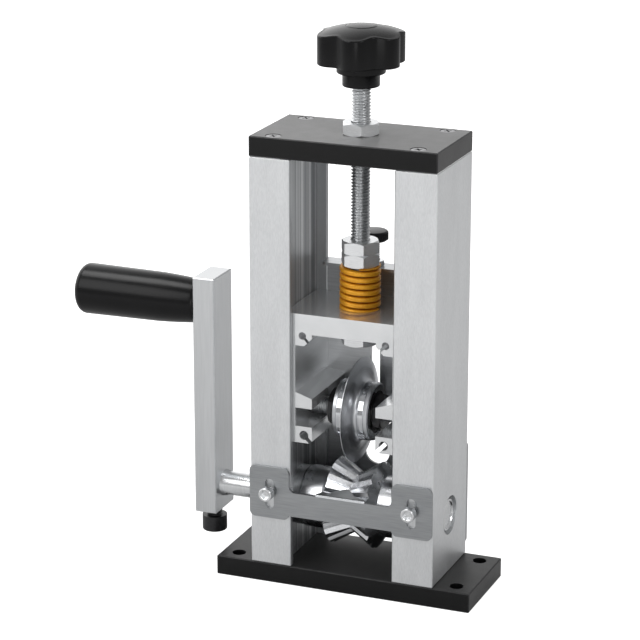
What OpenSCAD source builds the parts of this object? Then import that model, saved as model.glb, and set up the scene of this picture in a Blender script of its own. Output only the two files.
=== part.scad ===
// Hand crank wire stripper. A crank turns a toothed V roller, which feeds the cable
// under a free-running cutting wheel. The wheel hangs in a sprung carriage, which a
// star knob raises and lowers on a lead screw between two grooved uprights.
// X runs along the crank shaft, the front is at -Y, Z is up, and the origin lies at
// the centre of the base plate's underside. Sizes are in millimetres.

/* [Base and top plate] */
// Width of the flat bar that the base, the uprights and the top plate are cut from
bar_w = 50; // [47:0.5:56]
// Thickness of the base plate
base_t = 10; // [8:0.5:14]
// Length of the base plate
base_l = 133.4; // [126:0.5:150]
// Distance between the mounting holes along the base plate
mount_span_x = 115.4; // [106:0.5:118]
// Distance between the mounting holes across the base plate
mount_span_y = 35; // [28:0.5:38]
// Diameter of the mounting holes
mount_d = 7; // [5:0.5:8]
// Thickness of the top plate
top_t = 10; // [7:0.5:14]
// Diameter of the countersunk heads in the top plate
top_screw_head_d = 8; // [7:0.5:8.5]
// Thread diameter of the screws in the top plate
top_screw_d = 4; // [3:0.5:5]
// Thread diameter of the screws that hold the uprights from below
base_screw_d = 6; // [4:0.5:6]

/* [Uprights] */
// Distance between the outer faces of the uprights
frame_w = 95.4; // [93:0.2:98]
// Thickness of an upright
upright_t = 21.2; // [20:0.2:23]
// Height of an upright
upright_h = 207; // [200:1:230]
// Width of the walls beside the groove that guides the carriage
groove_side = 3; // [2.6:0.1:4]
// Depth of the groove that guides the carriage
groove_d = 5; // [4:0.2:7]

/* [Crank shaft and feed roller] */
// Height of the crank shaft's axis above the underside
shaft_z = 39.3; // [37:0.5:41]
// Diameter of the shaft where it runs in the uprights
journal_d = 19; // [16:0.5:20]
// Diameter of the shaft's crank end
crank_end_d = 12; // [10:0.5:14]
// Diameter over the roller's two toothed rims
rim_d = 43.4; // [40:0.2:44]
// Diameter at the bottom of the roller's V
root_d = 30.4; // [28:0.2:31]
// Distance between the two rims
vee_w = 22; // [18:0.5:24]
// Width of the cone outside each rim
cone_w = 3.9; // [2.5:0.1:5]
// Diameter of the roller's plain hubs
roller_hub_d = 31; // [29:0.2:32]
// Number of teeth on each side of the V
teeth = 18; // [14:1:24]
// Depth of the notches between the teeth
tooth_depth = 1.5; // [0.8:0.1:2]
// Width of a notch at the surface of the V
tooth_notch_w = 4.2; // [3:0.1:4.6]
// Flange diameter of the shaft bushings
bushing_flange_d = 30; // [28:0.5:32]
// Sleeve diameter of the shaft bushings
bushing_d = 24; // [22:0.5:25]
// Length of a bushing's sleeve inside the upright
bushing_l = 12; // [8:0.5:14]

/* [Crank] */
// Radius of the crank from shaft to handle
crank_r = 94.5; // [80:0.5:110]
// Thickness of the crank arm along the shaft
arm_t = 11.6; // [9:0.1:14]
// Width of the crank arm
arm_w = 22; // [18:0.2:24]
// Length of arm past the shaft's axis
arm_foot = 13.5; // [12:0.1:20]
// Length of arm past the handle's axis
arm_head = 15.3; // [10:0.1:20]
// Distance from the upright's outer face to the arm
arm_off = 25.3; // [22:0.1:40]
// Thread diameter of the screw that clamps the arm to the shaft
clamp_d = 8; // [6:0.5:9]
// Head diameter of that screw
clamp_head_d = 12.6; // [10:0.1:14]
// Head height of that screw
clamp_head_h = 8; // [6:0.5:10]
// Length of thread that shows between head and arm
clamp_show = 4.3; // [2:0.1:6]

/* [Handle] */
// Length of the handle
handle_l = 65.4; // [50:0.1:90]
// Handle diameter at the arm
handle_neck_d = 21.5; // [18:0.5:24]
// Handle diameter at its fullest
handle_d = 26; // [24:0.5:34]
// Radius of the handle's outer edge
handle_round = 4; // [2:0.5:6]
// Diameter of the spindle that the handle turns on
spindle_d = 8; // [6:0.5:10]
// Head diameter of the spindle
spindle_head_d = 13; // [11:0.5:14]
// Head height of the spindle
spindle_head_h = 5; // [3:0.5:6]

/* [Cutting wheel] */
// Height of the cutting wheel's axle above the underside
wheel_z = 87.9; // [87:0.1:90]
// Diameter of the cutting wheel
wheel_d = 52.3; // [48:0.1:53]
// Thickness of the cutting wheel's disc
wheel_t = 4; // [2.5:0.1:6]
// Width of the bevel that forms the edge, measured along the radius
wheel_bevel = 6; // [3:0.1:8]
// Thickness left at the very edge
wheel_edge_t = 0.3; // [0.2:0.05:0.6]
// Diameter of the wheel's hub
wheel_hub_d = 29.2; // [28.4:0.1:32]
// Width of the wheel's hub
wheel_hub_w = 18.7; // [17.5:0.1:20]
// Diameter of the axle and bore of its ball bearings
axle_d = 9; // [8:0.1:9]
// Outside diameter of the ball bearings
bearing_d = 26; // [25.5:0.1:26.5]
// Width of the ball bearings
bearing_w = 8; // [7:0.1:8.2]
// Diameter of the balls
ball_d = 4.76; // [4:0.01:5]
// Number of balls in each bearing
balls = 7; // [5:1:8]

/* [Carriage] */
// Height of the carriage's lower end above the underside
carriage_z = 74.8; // [73:0.1:76]
// Height of the carriage
carriage_h = 65.7; // [65:0.1:68]
// Thickness of the carriage's side walls
carriage_wall = 6; // [5:0.1:7]
// Thickness of the carriage's top bar
carriage_bar = 10; // [8:0.1:10.4]
// Clearance of the ribs and blocks beside the nuts on the axle
block_gap = 2.6; // [1.5:0.1:3.5]
// Height of the lower blocks
block_h = 8.4; // [7.5:0.1:8.5]
// Height of the blocks under the top bar
port_block_h = 6; // [5:0.1:7]
// Thickness of the ribs over the axle at their inner end
rib_t = 5.2; // [4:0.1:6]
// Rise of the ribs' upper face towards the walls
rib_rise = 2.8; // [0:0.1:4]
// Diameter of the screw channels beside the top bar
top_port_d = 3.8; // [3.4:0.1:4.2]
// Diameter of the screw channels in the lower blocks
low_port_d = 4.7; // [3.6:0.1:4.8]

/* [Lead screw and spring] */
// Outside diameter of the lead screw
screw_d = 9.6; // [8:0.1:10]
// Distance across the flats of all the large nuts
nut_af = 17; // [16:0.1:18]
// Height of a lock nut
nut_h = 6.25; // [5:0.05:7]
// Height of the nut under the carriage's bar
low_nut_h = 8; // [5:0.1:8.2]
// Height of the nut on the top plate
top_nut_h = 5.6; // [4:0.1:8]
// Length of the spring between the carriage and the lock nuts
spring_l = 21.6; // [21:0.1:26]
// Outside diameter of the spring
spring_d = 20.2; // [19:0.1:22]
// Width of the spring's wire across the coil
spring_wire_w = 3.6; // [3:0.1:4.4]
// Height of the spring's wire
spring_wire_h = 2.4; // [2:0.1:2.5]
// Number of curls in the spring
spring_curls = 6; // [4:0.125:6]

/* [Star knob] */
// Diameter over the knob's lobes
knob_d = 43; // [36:0.5:50]
// Number of lobes
knob_lobes = 6; // [5:1:8]
// Height of the lobed head without its dome
knob_h = 13.9; // [10:0.1:18]
// Height of the dome over the lobed head
knob_dome = 4.4; // [2:0.1:7]
// Clear height from the top plate to the knob's lower face
knob_lift = 23.1; // [20:0.1:40]
// Diameter of the collar under the lobed head
collar_d = 23.5; // [20:0.1:26]
// Height of that collar
collar_h = 4.6; // [3:0.1:8]
// Diameter of the lower collar
low_collar_d = 18; // [16:0.1:19]
// Height of the lower collar
low_collar_h = 6.3; // [4:0.1:9]

/* [Guide plates] */
// Thickness of the sheet metal
sheet_t = 1.5; // [1:0.1:2]
// Corner radius of the sheet metal
sheet_r = 3; // [1.5:0.1:3]
// Height of the front plate's lower edge above the underside
front_z = 35; // [33:0.1:37]
// Height of the front plate's end tabs
tab_h = 26.7; // [24:0.1:30]
// Height of the lower edge of the bar between the tabs, above the tabs' lower edge
bar_rise = 2.3; // [1:0.1:4]
// Height of the bar between the tabs
bar_h = 12.4; // [10:0.1:12.5]
// Width of the adjusting slots in both plates
slot_w = 4.6; // [4.4:0.1:6]
// Length of the adjusting slots in both plates
slot_l = 15.6; // [12:0.1:18]
// Height of the front slots' lower end above the tabs' lower edge
front_slot_rise = 4.9; // [4:0.1:6]
// Height of the front screws above the underside
front_screw_z = 48.9; // [48:0.1:49.5]
// Thread diameter of the guide plates' screws
guide_screw_d = 4; // [3:0.1:4]
// Head diameter of the front screws
guide_head_d = 7; // [6:0.1:8]
// Height of the rear plate's lower edge above the underside
rear_z = 14.5; // [14.3:0.1:16]
// Height of the rear plate
rear_h = 54.6; // [53:0.1:60]
// Diameter of the cable inlet in the rear plate
inlet_d = 13; // [12:0.5:15]
// Diameter of the knurled thumb screws
thumb_d = 14; // [12:0.2:16]
// Height of the knurled thumb screws' heads
thumb_h = 5; // [4:0.1:7]

/* [Rear bracket] */
// Clearance of the bracket beside each upright
bracket_side = 0.7; // [0.4:0.1:3]
// Thickness of the bracket's sheet
bracket_t = 1.6; // [1.2:0.1:2]
// Height of the bracket's flange above the carriage
bracket_rise = 16.5; // [12:0.1:18]
// Reach of the flange from the carriage's back towards the screw
bracket_reach = 8.6; // [7:0.1:9]
// Thread diameter of the bracket's thumb screw
stud_d = 6; // [4:0.1:6]
// Length of stud between the flange and the thumb screw's head
stud_show = 12.5; // [10:0.1:16]

/* [Hidden] */
$fn = 96;

// Overrun by which every cut passes the surface that it opens
over = 1;
// Clearance of a screw, pin or ring in the hole that holds it fast
seat_gap = 0.02;
// Running clearance of a shaft in its bore, on the radius
run_gap = 0.05;
// Clearance between faces that slide or turn past each other
slide_gap = 0.3;
// Clearance of flat sheet metal that slides on a machined face
sheet_gap = 0.1;
// Chamfer on the edges of the machined plates
edge = 0.5;
// Depth of the fasteners' sockets and slots
socket_depth = 1.8;
// Widths of a hexagon socket and of a cross recess, as shares of their screw
socket_share = 0.65;
cross_share = 0.6;
cross_w_share = 0.12;

// Half width of the frame, middle of an upright, and the two levels of its inner face
half_frame = frame_w / 2;
upright_x = half_frame - upright_t / 2;
inner_x = half_frame - upright_t;
roller_seam = seat_gap / 2;
floor_x = inner_x + groove_d;
groove_w = bar_w - 2 * groove_side;
top_z = base_t + upright_h;
top_face_z = top_z + top_t;

// Screws of the base and the top plate
base_screw_y_share = 0.3;
base_screw_y = bar_w * base_screw_y_share;
base_screw_len = 14;
base_screw_head_share = 1.9;
base_screw_head_d = base_screw_head_share * base_screw_d;
top_screw_edge = 4.5;
top_screw_inset = 11.1;
top_screw_x = half_frame - top_screw_inset;
top_screw_y = bar_w / 2 - top_screw_edge;
top_screw_len = 16;

// Levels of the roller, its hubs, the bushings and the shaft
roller_end_x = inner_x - slide_gap;
bushing_end_x = floor_x + bushing_l;
shaft_end_gap = 0.6;
shaft_chamfer = 1.2;
shaft_end_x = half_frame - shaft_end_gap;
root_flat = 1;
arm_in_x = half_frame + arm_off;
arm_out_x = arm_in_x + arm_t;
flare_d_share = 1.13;
flare_w = 4;
shaft_flat = 0.6;
set_screw_d = 5;
set_screw_inset = 5.5;
set_screw_sunk = 0.8;

// Handle, from its clearance at the arm to its outer end
handle_in_x = arm_out_x + slide_gap;
handle_out_x = handle_in_x + handle_l;
handle_z = shaft_z + crank_r;
spindle_recess = 0.6;
spindle_floor = 2;
spindle_head_x = handle_out_x - spindle_recess - spindle_head_h;
handle_taper_l = 22;
handle_full_share = 0.96;
handle_soft_share = 0.5;
handle_steps = 10;
handle_round_step = 15;

// Carriage: half width, depth, and the levels of its profile from the bottom
carriage_hw = floor_x - slide_gap;
carriage_dep = groove_w - 2 * slide_gap;
carriage_top = carriage_z + carriage_h;
wall_x = carriage_hw - carriage_wall;
ring_proud = slide_gap;
axle_nut_h = 4.25;
clamp_nut_x = wheel_hub_w / 2 + ring_proud;
block_x = clamp_nut_x + axle_nut_h + block_gap;
bar_z = carriage_top - carriage_bar;
axle_room = 0.4;
axle_slot_h = axle_d + axle_room;
rib_z = wheel_z + axle_slot_h / 2;
port_inset = 3.75;
top_port_drop_share = 0.25;
low_port_inset_share = 1.2;
top_port_x = wall_x - port_inset;
top_port_z = bar_z - top_port_drop_share * top_port_d;
low_port_x = wall_x - low_port_inset_share * port_inset;
low_port_drop = 0.25;
low_port_z = carriage_z + block_h / 2 - low_port_drop;
port_cut = 4;
port_slot_w = 1.4;
low_slot_w = 2;

// Cutting wheel and its bearings, measured from the wheel's middle plane
hub_x = wheel_hub_w / 2;
bearing_x = hub_x - bearing_w;
ball_r = ball_d / 2;
ball_track_r = (bearing_d + axle_d) / 4;
ring_gap_share = 0.754;
outer_ring_r = ball_track_r + ring_gap_share * ball_r;
inner_ring_r = ball_track_r - ring_gap_share * ball_r;
seal_t = 0.6;
seal_inset = 0.4;
spacer_wall = 1.7;
axle_screw_d = 5;
axle_screw_len = 9;
axle_screw_head_d = 9;

// Lead screw: levels of the nuts, of the screw's lower end and of the knob
low_nut_gap = 0.1;
spring_top_z = carriage_top + spring_l;
mid_nut_z = spring_top_z + nut_h;
screw_show = 0.9;
screw_low_z = bar_z - low_nut_gap - low_nut_h - screw_show;
knob_low_z = top_face_z + knob_lift;
collar_z = knob_low_z + low_collar_h;
knob_z = collar_z + collar_h;
knob_top_z = knob_z + knob_h;
screw_in_knob_share = 0.6;
screw_top_z = knob_z + knob_h * screw_in_knob_share;
screw_clear = 0.3;
top_nut_turn = -8;
knob_turn = -18;
knob_valley_share = 0.84;
knob_edge = 0.8;
knob_steps = 12;
dome_steps = 10;
dome_base_r = knob_d / 2;
dome_r = (dome_base_r * dome_base_r + knob_dome * knob_dome) / (2 * knob_dome);
cap_d = 15;
cap_t = 3;

// Guide plates
plate_in_y = bar_w / 2 + sheet_gap;
plate_out_y = plate_in_y + sheet_t;
tab_in_x = inner_x + slide_gap;
front_top_z = front_z + bar_rise + bar_h;
tongue_rise = 0.8;
tongue_top_z = front_top_z + tongue_rise;
tongue_low_z = tongue_top_z - sheet_t;
tongue_side = 1.8;
tongue_w = vee_w + 2 * tongue_side;
tongue_gap = 1.8;
tongue_step = 0.6;
step_share = [0.86, 0.56, 0.42, 0.12];
front_shank_show = 2;
guide_head_h = 4;
guide_screw_grip = 12;
rear_screw_rise = 0.9;
rear_screw_z = front_screw_z + rear_screw_rise;
rear_slot_z = rear_screw_z - slot_l / 2;
inlet_rise = 18;
inlet_z = shaft_z + inlet_rise;
thumb_stem = 5.6;
thumb_stem_d = 8.5;
thumb_edge = 0.6;

// Rear bracket on the carriage
back_y = carriage_dep / 2;
bracket_w = 2 * (inner_x - bracket_side);
bracket_foot = 5.2;
bracket_low_z = carriage_z + bracket_foot;
flange_z = carriage_top + bracket_rise;
stud_y = back_y - slide_gap - stud_d / 2;
stud_nut_share = 1.6;
stud_nut_h = 2.6;
sight_side = 0.3;
sight_w = wheel_t + 2 * sight_side;
sight_reach = 34.1;
sight_top_z = wheel_z + sight_reach;
bracket_screw_len = 40;
bracket_head_share = 1.9;
bracket_head_h = 2.4;

// Colours
steel_grey = "#c9ccd0";
bright_steel = "#dfe2e6";
black_plate = "#55585c";
black_plastic = "#1b1b1d";
dark_oxide = "#33343a";
sheet_grey = "#9b9ea2";
spring_yellow = "#d49a1f";

// A box between two corners
module box(low, high) {
  translate(low) cube(high - low);
}

// A rectangle with its four corners cut at 45 degrees
module cut_square(w, h, c) {
  polygon([[c - w / 2, -h / 2], [w / 2 - c, -h / 2], [w / 2, c - h / 2], [w / 2, h / 2 - c],
    [w / 2 - c, h / 2], [c - w / 2, h / 2], [-w / 2, h / 2 - c], [-w / 2, c - h / 2]]);
}

// A centred block with every edge chamfered
module block(w, d, h, c) {
  intersection() {
    linear_extrude(h, center = true) cut_square(w, d, c);
    rotate([90, 0, 0]) linear_extrude(d, center = true) cut_square(w, h, c);
    rotate([90, 0, 90]) linear_extrude(w, center = true) cut_square(d, h, c);
  }
}

// A rectangle from one corner to the other, with round corners
module round_square(low, high, r) {
  translate([low.x + r, low.y]) square([high.x - low.x - 2 * r, high.y - low.y]);
  translate([low.x, low.y + r]) square([high.x - low.x, high.y - low.y - 2 * r]);
  for (x = [low.x + r, high.x - r], y = [low.y + r, high.y - r])
    translate([x, y]) circle(r);
}

// Round bars along the three axes, from one coordinate to another
module x_bar(d, a, b) {
  translate([a, 0, 0]) rotate([0, 90, 0]) cylinder(d = d, h = b - a);
}
module y_bar(d, a, b) {
  translate([0, a, 0]) rotate([-90, 0, 0]) cylinder(d = d, h = b - a);
}
module z_bar(d, a, b) {
  translate([0, 0, a]) cylinder(d = d, h = b - a);
}

// A hexagon with its corners turned off at both ends, standing on z = 0
module hex_body(af, h) {
  corner = af / cos(30) / 2;
  turned = af / 2;
  drop = (corner - turned) * tan(30);
  intersection() {
    cylinder(r = corner, h = h, $fn = 6);
    rotate_extrude() polygon([[0, 0], [turned, 0], [corner, drop], [corner, h - drop],
      [turned, h], [0, h]]);
  }
}

// A hexagon nut with a plain bore
module hex_nut(af, h, bore) {
  difference() {
    hex_body(af, h);
    z_bar(bore, -over, h + over);
  }
}

// A countersunk screw whose flat head ends at z = 0, pointing down
module sunk_screw(d, head_d, len, grow = 0) {
  rotate_extrude() polygon([[0, grow], [head_d / 2 + grow, grow], [head_d / 2 + grow, 0],
    [d / 2 + grow, -(head_d - d) / 2], [d / 2 + grow, -len - grow], [0, -len - grow]]);
}

// The countersunk hole for such a screw
module sunk_hole(d, head_d, len) {
  sunk_screw(d, head_d, len, seat_gap);
}

// A pan head screw whose head stands on z = 0, pointing down
module pan_screw(d, head_d, head_h, len) {
  crown = head_h / 3;
  soft = crown / 3;
  rotate_extrude() polygon([[0, head_h], [head_d / 2 - crown, head_h],
    [head_d / 2 - soft, head_h - soft], [head_d / 2, head_h - crown],
    [head_d / 2, 0], [d / 2, 0], [d / 2, -len], [0, -len]]);
}

// A socket head screw whose head stands on z = 0, pointing down
module cap_screw(d, head_d, head_h, len) {
  difference() {
    rotate_extrude() polygon([[0, head_h], [head_d / 2 - edge, head_h], [head_d / 2, head_h - edge],
      [head_d / 2, 0], [d / 2, 0], [d / 2, -len], [0, -len]]);
    translate([0, 0, head_h / 2]) cylinder(d = socket_share * head_d, h = head_h, $fn = 6);
  }
}

// A thumb screw along +Z: a knurled head, a stem under it and a stud below z = 0
module thumb_screw(stem, stem_d, d, len) {
  z_bar(d, -len, stem);
  rotate_extrude() polygon([[0, 0], [stem_d / 2, 0], [stem_d / 2, stem],
    [thumb_d / 2 - thumb_edge, stem], [thumb_d / 2, stem + thumb_edge],
    [thumb_d / 2, stem + thumb_h - thumb_edge],
    [thumb_d / 2 - thumb_edge, stem + thumb_h], [0, stem + thumb_h]]);
}

// Places at the four screws that each of the two end plates has
module each_base_screw() {
  for (x = [-upright_x, upright_x], y = [-base_screw_y, base_screw_y])
    translate([x, y, 0]) mirror([0, 0, 1]) children();
}
module each_top_screw() {
  for (x = [-top_screw_x, top_screw_x], y = [-top_screw_y, top_screw_y])
    translate([x, y, top_face_z]) children();
}
module each_mount() {
  for (x = [-mount_span_x / 2, mount_span_x / 2], y = [-mount_span_y / 2, mount_span_y / 2])
    translate([x, y, 0]) children();
}

module base_plate() {
  color(black_plate) difference() {
    translate([0, 0, base_t / 2]) block(base_l, bar_w, base_t, edge);
    each_mount() z_bar(mount_d, -over, base_t + over);
    each_base_screw() sunk_hole(base_screw_d, base_screw_head_d, base_t + base_screw_len);
  }
}

module base_screws() {
  color(dark_oxide) each_base_screw() difference() {
    sunk_screw(base_screw_d, base_screw_head_d, base_t + base_screw_len);
    translate([0, 0, -socket_depth])
      cylinder(d = socket_share * base_screw_d, h = socket_depth + over, $fn = 6);
  }
}

// One upright, on the +X side: grooved inside, bored for the shaft's bushing
module upright(mark) {
  difference() {
    translate([mark * upright_x, 0, base_t + upright_h / 2]) block(upright_t, bar_w, upright_h, edge);
    mirror([mark < 0 ? 1 : 0, 0, 0]) {
      box([inner_x - over, -groove_w / 2, base_t - over], [floor_x, groove_w / 2, top_z + over]);
      translate([0, 0, shaft_z]) x_bar(journal_d + 2 * slide_gap, floor_x - over, half_frame + over);
      translate([0, 0, shaft_z])
        x_bar(bushing_d + 2 * seat_gap, floor_x - over, bushing_end_x + seat_gap);
    }
    each_base_screw() sunk_hole(base_screw_d, base_screw_head_d, base_t + base_screw_len);
    each_top_screw() sunk_hole(top_screw_d, top_screw_head_d, top_t + top_screw_len);
    translate([mark * upright_x, 0, front_screw_z])
      y_bar(guide_screw_d + 2 * seat_gap, -bar_w / 2 - over, guide_screw_grip - bar_w / 2 + seat_gap);
    translate([mark * upright_x, 0, rear_screw_z])
      y_bar(guide_screw_d + 2 * run_gap, bar_w / 2 - guide_screw_grip - run_gap, bar_w / 2 + over);
  }
}

module left_upright() {
  color(steel_grey) upright(-1);
}

module right_upright() {
  color(steel_grey) upright(1);
}

module top_plate() {
  color(black_plate) difference() {
    translate([0, 0, top_z + top_t / 2]) block(frame_w, bar_w, top_t, edge);
    each_top_screw() sunk_hole(top_screw_d, top_screw_head_d, top_t + top_screw_len);
    z_bar(screw_d + 2 * run_gap, top_z - over, top_face_z + over);
  }
}

module top_plate_screws() {
  color(bright_steel) each_top_screw() difference() {
    sunk_screw(top_screw_d, top_screw_head_d, top_t + top_screw_len);
    for (a = [0, 90]) rotate(a) translate([0, 0, -socket_depth / 2])
      cube([cross_share * top_screw_head_d, cross_w_share * top_screw_head_d, socket_depth], center = true);
  }
}

module top_nut() {
  color(bright_steel) translate([0, 0, top_face_z]) rotate(top_nut_turn)
    hex_nut(nut_af, top_nut_h, screw_d + 2 * run_gap);
}

// A flanged bushing on the +X side: its flange fills the groove, its sleeve the bore
module bushing() {
  translate([0, 0, shaft_z]) difference() {
    union() {
      x_bar(bushing_flange_d, inner_x, floor_x);
      x_bar(bushing_d, inner_x, bushing_end_x);
    }
    x_bar(journal_d + 2 * run_gap, inner_x - over, bushing_end_x + over);
  }
}

module left_bushing() {
  color(dark_oxide) mirror([1, 0, 0]) bushing();
}

module right_bushing() {
  color(dark_oxide) bushing();
}

module lead_screw() {
  tip = 1.2;
  color(bright_steel) rotate_extrude() polygon([[0, screw_low_z], [screw_d / 2 - tip, screw_low_z],
    [screw_d / 2, screw_low_z + tip], [screw_d / 2, screw_top_z], [0, screw_top_z]]);
}

// Outline of the lobed head: the radius swells and falls once for each lobe
module knob_outline() {
  steps = knob_steps * knob_lobes;
  crest = knob_d / 2;
  valley = crest * knob_valley_share;
  polygon([for (i = [0 : steps - 1]) let (
      a = 360 * i / steps,
      r = valley + (crest - valley) * (1 + cos(knob_lobes * a)) / 2
    ) [r * cos(a), r * sin(a)]]);
}

// Height of the dome's surface at a given radius, and its profile from a radius inwards
function dome_z(x) = knob_top_z + knob_dome - dome_r + sqrt(dome_r * dome_r - x * x);
function dome_profile(from) = [for (i = [dome_steps : -1 : 0])
  let (x = from * i / dome_steps) [x, dome_z(x)]];

module star_knob() {
  crest = knob_d / 2;
  color(black_plastic) difference() {
    union() {
      intersection() {
        translate([0, 0, knob_z]) rotate(knob_turn) linear_extrude(knob_h + knob_dome) knob_outline();
        rotate_extrude() polygon(concat(
          [[0, knob_z], [crest - knob_edge, knob_z], [crest, knob_z + knob_edge]], dome_profile(crest)));
      }
      z_bar(collar_d, collar_z, knob_z + over);
      z_bar(low_collar_d, knob_low_z, collar_z + over);
    }
    z_bar(screw_d + 2 * seat_gap, knob_low_z - over, screw_top_z + seat_gap);
    z_bar(cap_d + 2 * seat_gap, knob_top_z + knob_dome - cap_t, knob_top_z + knob_dome + over);
  }
}

// The round cap that closes the middle of the dome, flush with it
module knob_cap() {
  cap_z = knob_top_z + knob_dome - cap_t;
  color(black_plastic) rotate_extrude()
    polygon(concat([[0, cap_z], [cap_d / 2, cap_z]], dome_profile(cap_d / 2)));
}

module upper_lock_nut() {
  color(bright_steel) translate([0, 0, mid_nut_z]) hex_nut(nut_af, nut_h, screw_d + 2 * seat_gap);
}

module lower_lock_nut() {
  color(bright_steel) translate([0, 0, spring_top_z]) hex_nut(nut_af, nut_h, screw_d + 2 * seat_gap);
}

module retaining_nut() {
  color(bright_steel) translate([0, 0, bar_z - low_nut_gap - low_nut_h])
    hex_nut(nut_af, low_nut_h, screw_d + 2 * seat_gap);
}

// The spring's wire: a flattened six-sided section swept along a right-hand helix
spring_rings = 8;
spring_count = floor(spring_rings * spring_curls);
spring_r = (spring_d - spring_wire_w) / 2;
spring_low = carriage_top + run_gap + spring_wire_h / 2;
spring_high = spring_top_z - run_gap - spring_wire_h / 2;
spring_side = spring_wire_w / 2 - spring_wire_h / 4;
spring_section = [[spring_side, -spring_wire_h / 2], [spring_wire_w / 2, 0],
  [spring_side, spring_wire_h / 2], [-spring_side, spring_wire_h / 2],
  [-spring_wire_w / 2, 0], [-spring_side, -spring_wire_h / 2]];

// One ring of points at an angle, moved along the tangent by a straight run
function spring_ring(angle, z, run) = [for (p = spring_section)
  [(spring_r + p.x) * cos(angle) - run * sin(angle),
   (spring_r + p.x) * sin(angle) + run * cos(angle), z + p.y]];
function spring_step(i) = spring_ring(360 * i / spring_rings,
  spring_low + (spring_high - spring_low) * i / spring_count, 0);

spring_all = concat([spring_ring(0, spring_low, -spring_wire_w)],
  [for (i = [0 : spring_count]) spring_step(i)],
  [spring_ring(360 * spring_count / spring_rings, spring_high, spring_wire_w)]);
spring_apart = 5;
spring_gap = min([for (i = [0 : len(spring_all) - 1], j = [i + spring_apart : 1 : len(spring_all) - 1],
  p = spring_all[i], q = spring_all[j]) norm(p - q)]);

module die_spring() {
  echo(spring_least_gap = spring_gap);
  n = len(spring_section);
  last = len(spring_all) - 1;
  sides = [for (i = [0 : last - 1], k = [0 : n - 1]) let (m = (k + 1) % n)
    each [[n * i + k, n * (i + 1) + k, n * (i + 1) + m], [n * i + k, n * (i + 1) + m, n * i + m]]];
  first_cap = [for (k = [1 : n - 2]) [0, k, k + 1]];
  last_cap = [for (k = [1 : n - 2]) [n * last, n * last + k + 1, n * last + k]];
  color(spring_yellow) polyhedron([for (ring = spring_all) each ring], concat(sides, first_cap, last_cap));
}

// Profile of the carriage's +X half, drawn in X and Z
module carriage_half() {
  difference() {
    polygon([[0, carriage_top], [0, bar_z], [block_x, bar_z], [block_x, bar_z - port_block_h + port_cut],
      [block_x + port_cut, bar_z - port_block_h], [wall_x, bar_z - port_block_h],
      [wall_x, rib_z + rib_t + rib_rise], [block_x, rib_z + rib_t], [block_x, rib_z],
      [wall_x, rib_z], [wall_x, carriage_z + block_h], [block_x, carriage_z + block_h],
      [block_x, carriage_z], [carriage_hw, carriage_z], [carriage_hw, carriage_top]]);
    translate([top_port_x, top_port_z]) circle(d = top_port_d);
    translate([top_port_x, top_port_z]) rotate(225)
      translate([0, -port_slot_w / 2]) square([port_cut + port_block_h, port_slot_w]);
    translate([low_port_x, low_port_z]) circle(d = low_port_d);
    translate([low_port_x, low_port_z]) rotate(225)
      translate([0, -low_slot_w / 2]) square([wall_x, low_slot_w]);
  }
}

module blade_carriage() {
  color(steel_grey) difference() {
    rotate([90, 0, 0]) linear_extrude(carriage_dep, center = true) {
      carriage_half();
      mirror([1, 0]) carriage_half();
    }
    z_bar(screw_d + 2 * screw_clear, bar_z - over, carriage_top + over);
    for (side = [0, 1]) mirror([side, 0, 0]) translate([carriage_hw, 0, wheel_z]) rotate([0, 90, 0])
      sunk_hole(axle_screw_d, axle_screw_head_d, carriage_wall + axle_screw_len);
  }
}

// Cutting wheel: a bevelled disc on a hub that holds a ball bearing at each end
module cutting_wheel() {
  r = wheel_d / 2;
  hub_r = wheel_hub_d / 2;
  pocket_r = bearing_d / 2 + seat_gap;
  bore_r = outer_ring_r;
  blend = 1;
  color(bright_steel) translate([0, 0, wheel_z]) rotate([0, 90, 0]) rotate_extrude()
    polygon([for (side = [1, -1]) each (side > 0
      ? [[bore_r, bearing_x], [pocket_r, bearing_x], [pocket_r, hub_x], [hub_r - edge, hub_x],
         [hub_r, hub_x - edge], [hub_r, wheel_t / 2 + blend], [hub_r + blend, wheel_t / 2],
         [r - wheel_bevel, wheel_t / 2], [r, wheel_edge_t / 2]]
      : [[r, -wheel_edge_t / 2], [r - wheel_bevel, -wheel_t / 2], [hub_r + blend, -wheel_t / 2],
         [hub_r, -wheel_t / 2 - blend], [hub_r, edge - hub_x], [hub_r - edge, -hub_x],
         [pocket_r, -hub_x], [pocket_r, -bearing_x], [bore_r, -bearing_x]])]);
}

module blade_axle() {
  color(bright_steel) translate([0, 0, wheel_z]) difference() {
    x_bar(axle_d, -wall_x, wall_x);
    for (side = [0, 1]) mirror([side, 0, 0])
      x_bar(axle_screw_d + 2 * seat_gap, wall_x - axle_screw_len - seat_gap, wall_x + over);
  }
}

module axle_nuts() {
  color(dark_oxide) for (side = [0, 1]) mirror([side, 0, 0])
    translate([clamp_nut_x, 0, wheel_z]) rotate([0, 90, 0])
      hex_nut(nut_af, axle_nut_h, axle_d + 2 * seat_gap);
}

module axle_end_screws() {
  color(dark_oxide) for (side = [0, 1]) mirror([side, 0, 0])
    translate([carriage_hw, 0, wheel_z]) rotate([0, 90, 0]) difference() {
      sunk_screw(axle_screw_d, axle_screw_head_d, carriage_wall + axle_screw_len);
      translate([0, 0, -socket_depth])
        cylinder(d = socket_share * axle_screw_d, h = socket_depth + over, $fn = 6);
    }
}

// Both ball bearings, placed from one drawn at the +X end of the hub
module each_bearing() {
  for (side = [0, 1]) mirror([side, 0, 0])
    translate([bearing_x + bearing_w / 2, 0, wheel_z]) rotate([0, 90, 0]) children();
}

// The groove that the balls run in
module ball_track() {
  rotate_extrude() translate([ball_track_r, 0]) circle(r = ball_r + run_gap);
}

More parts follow.
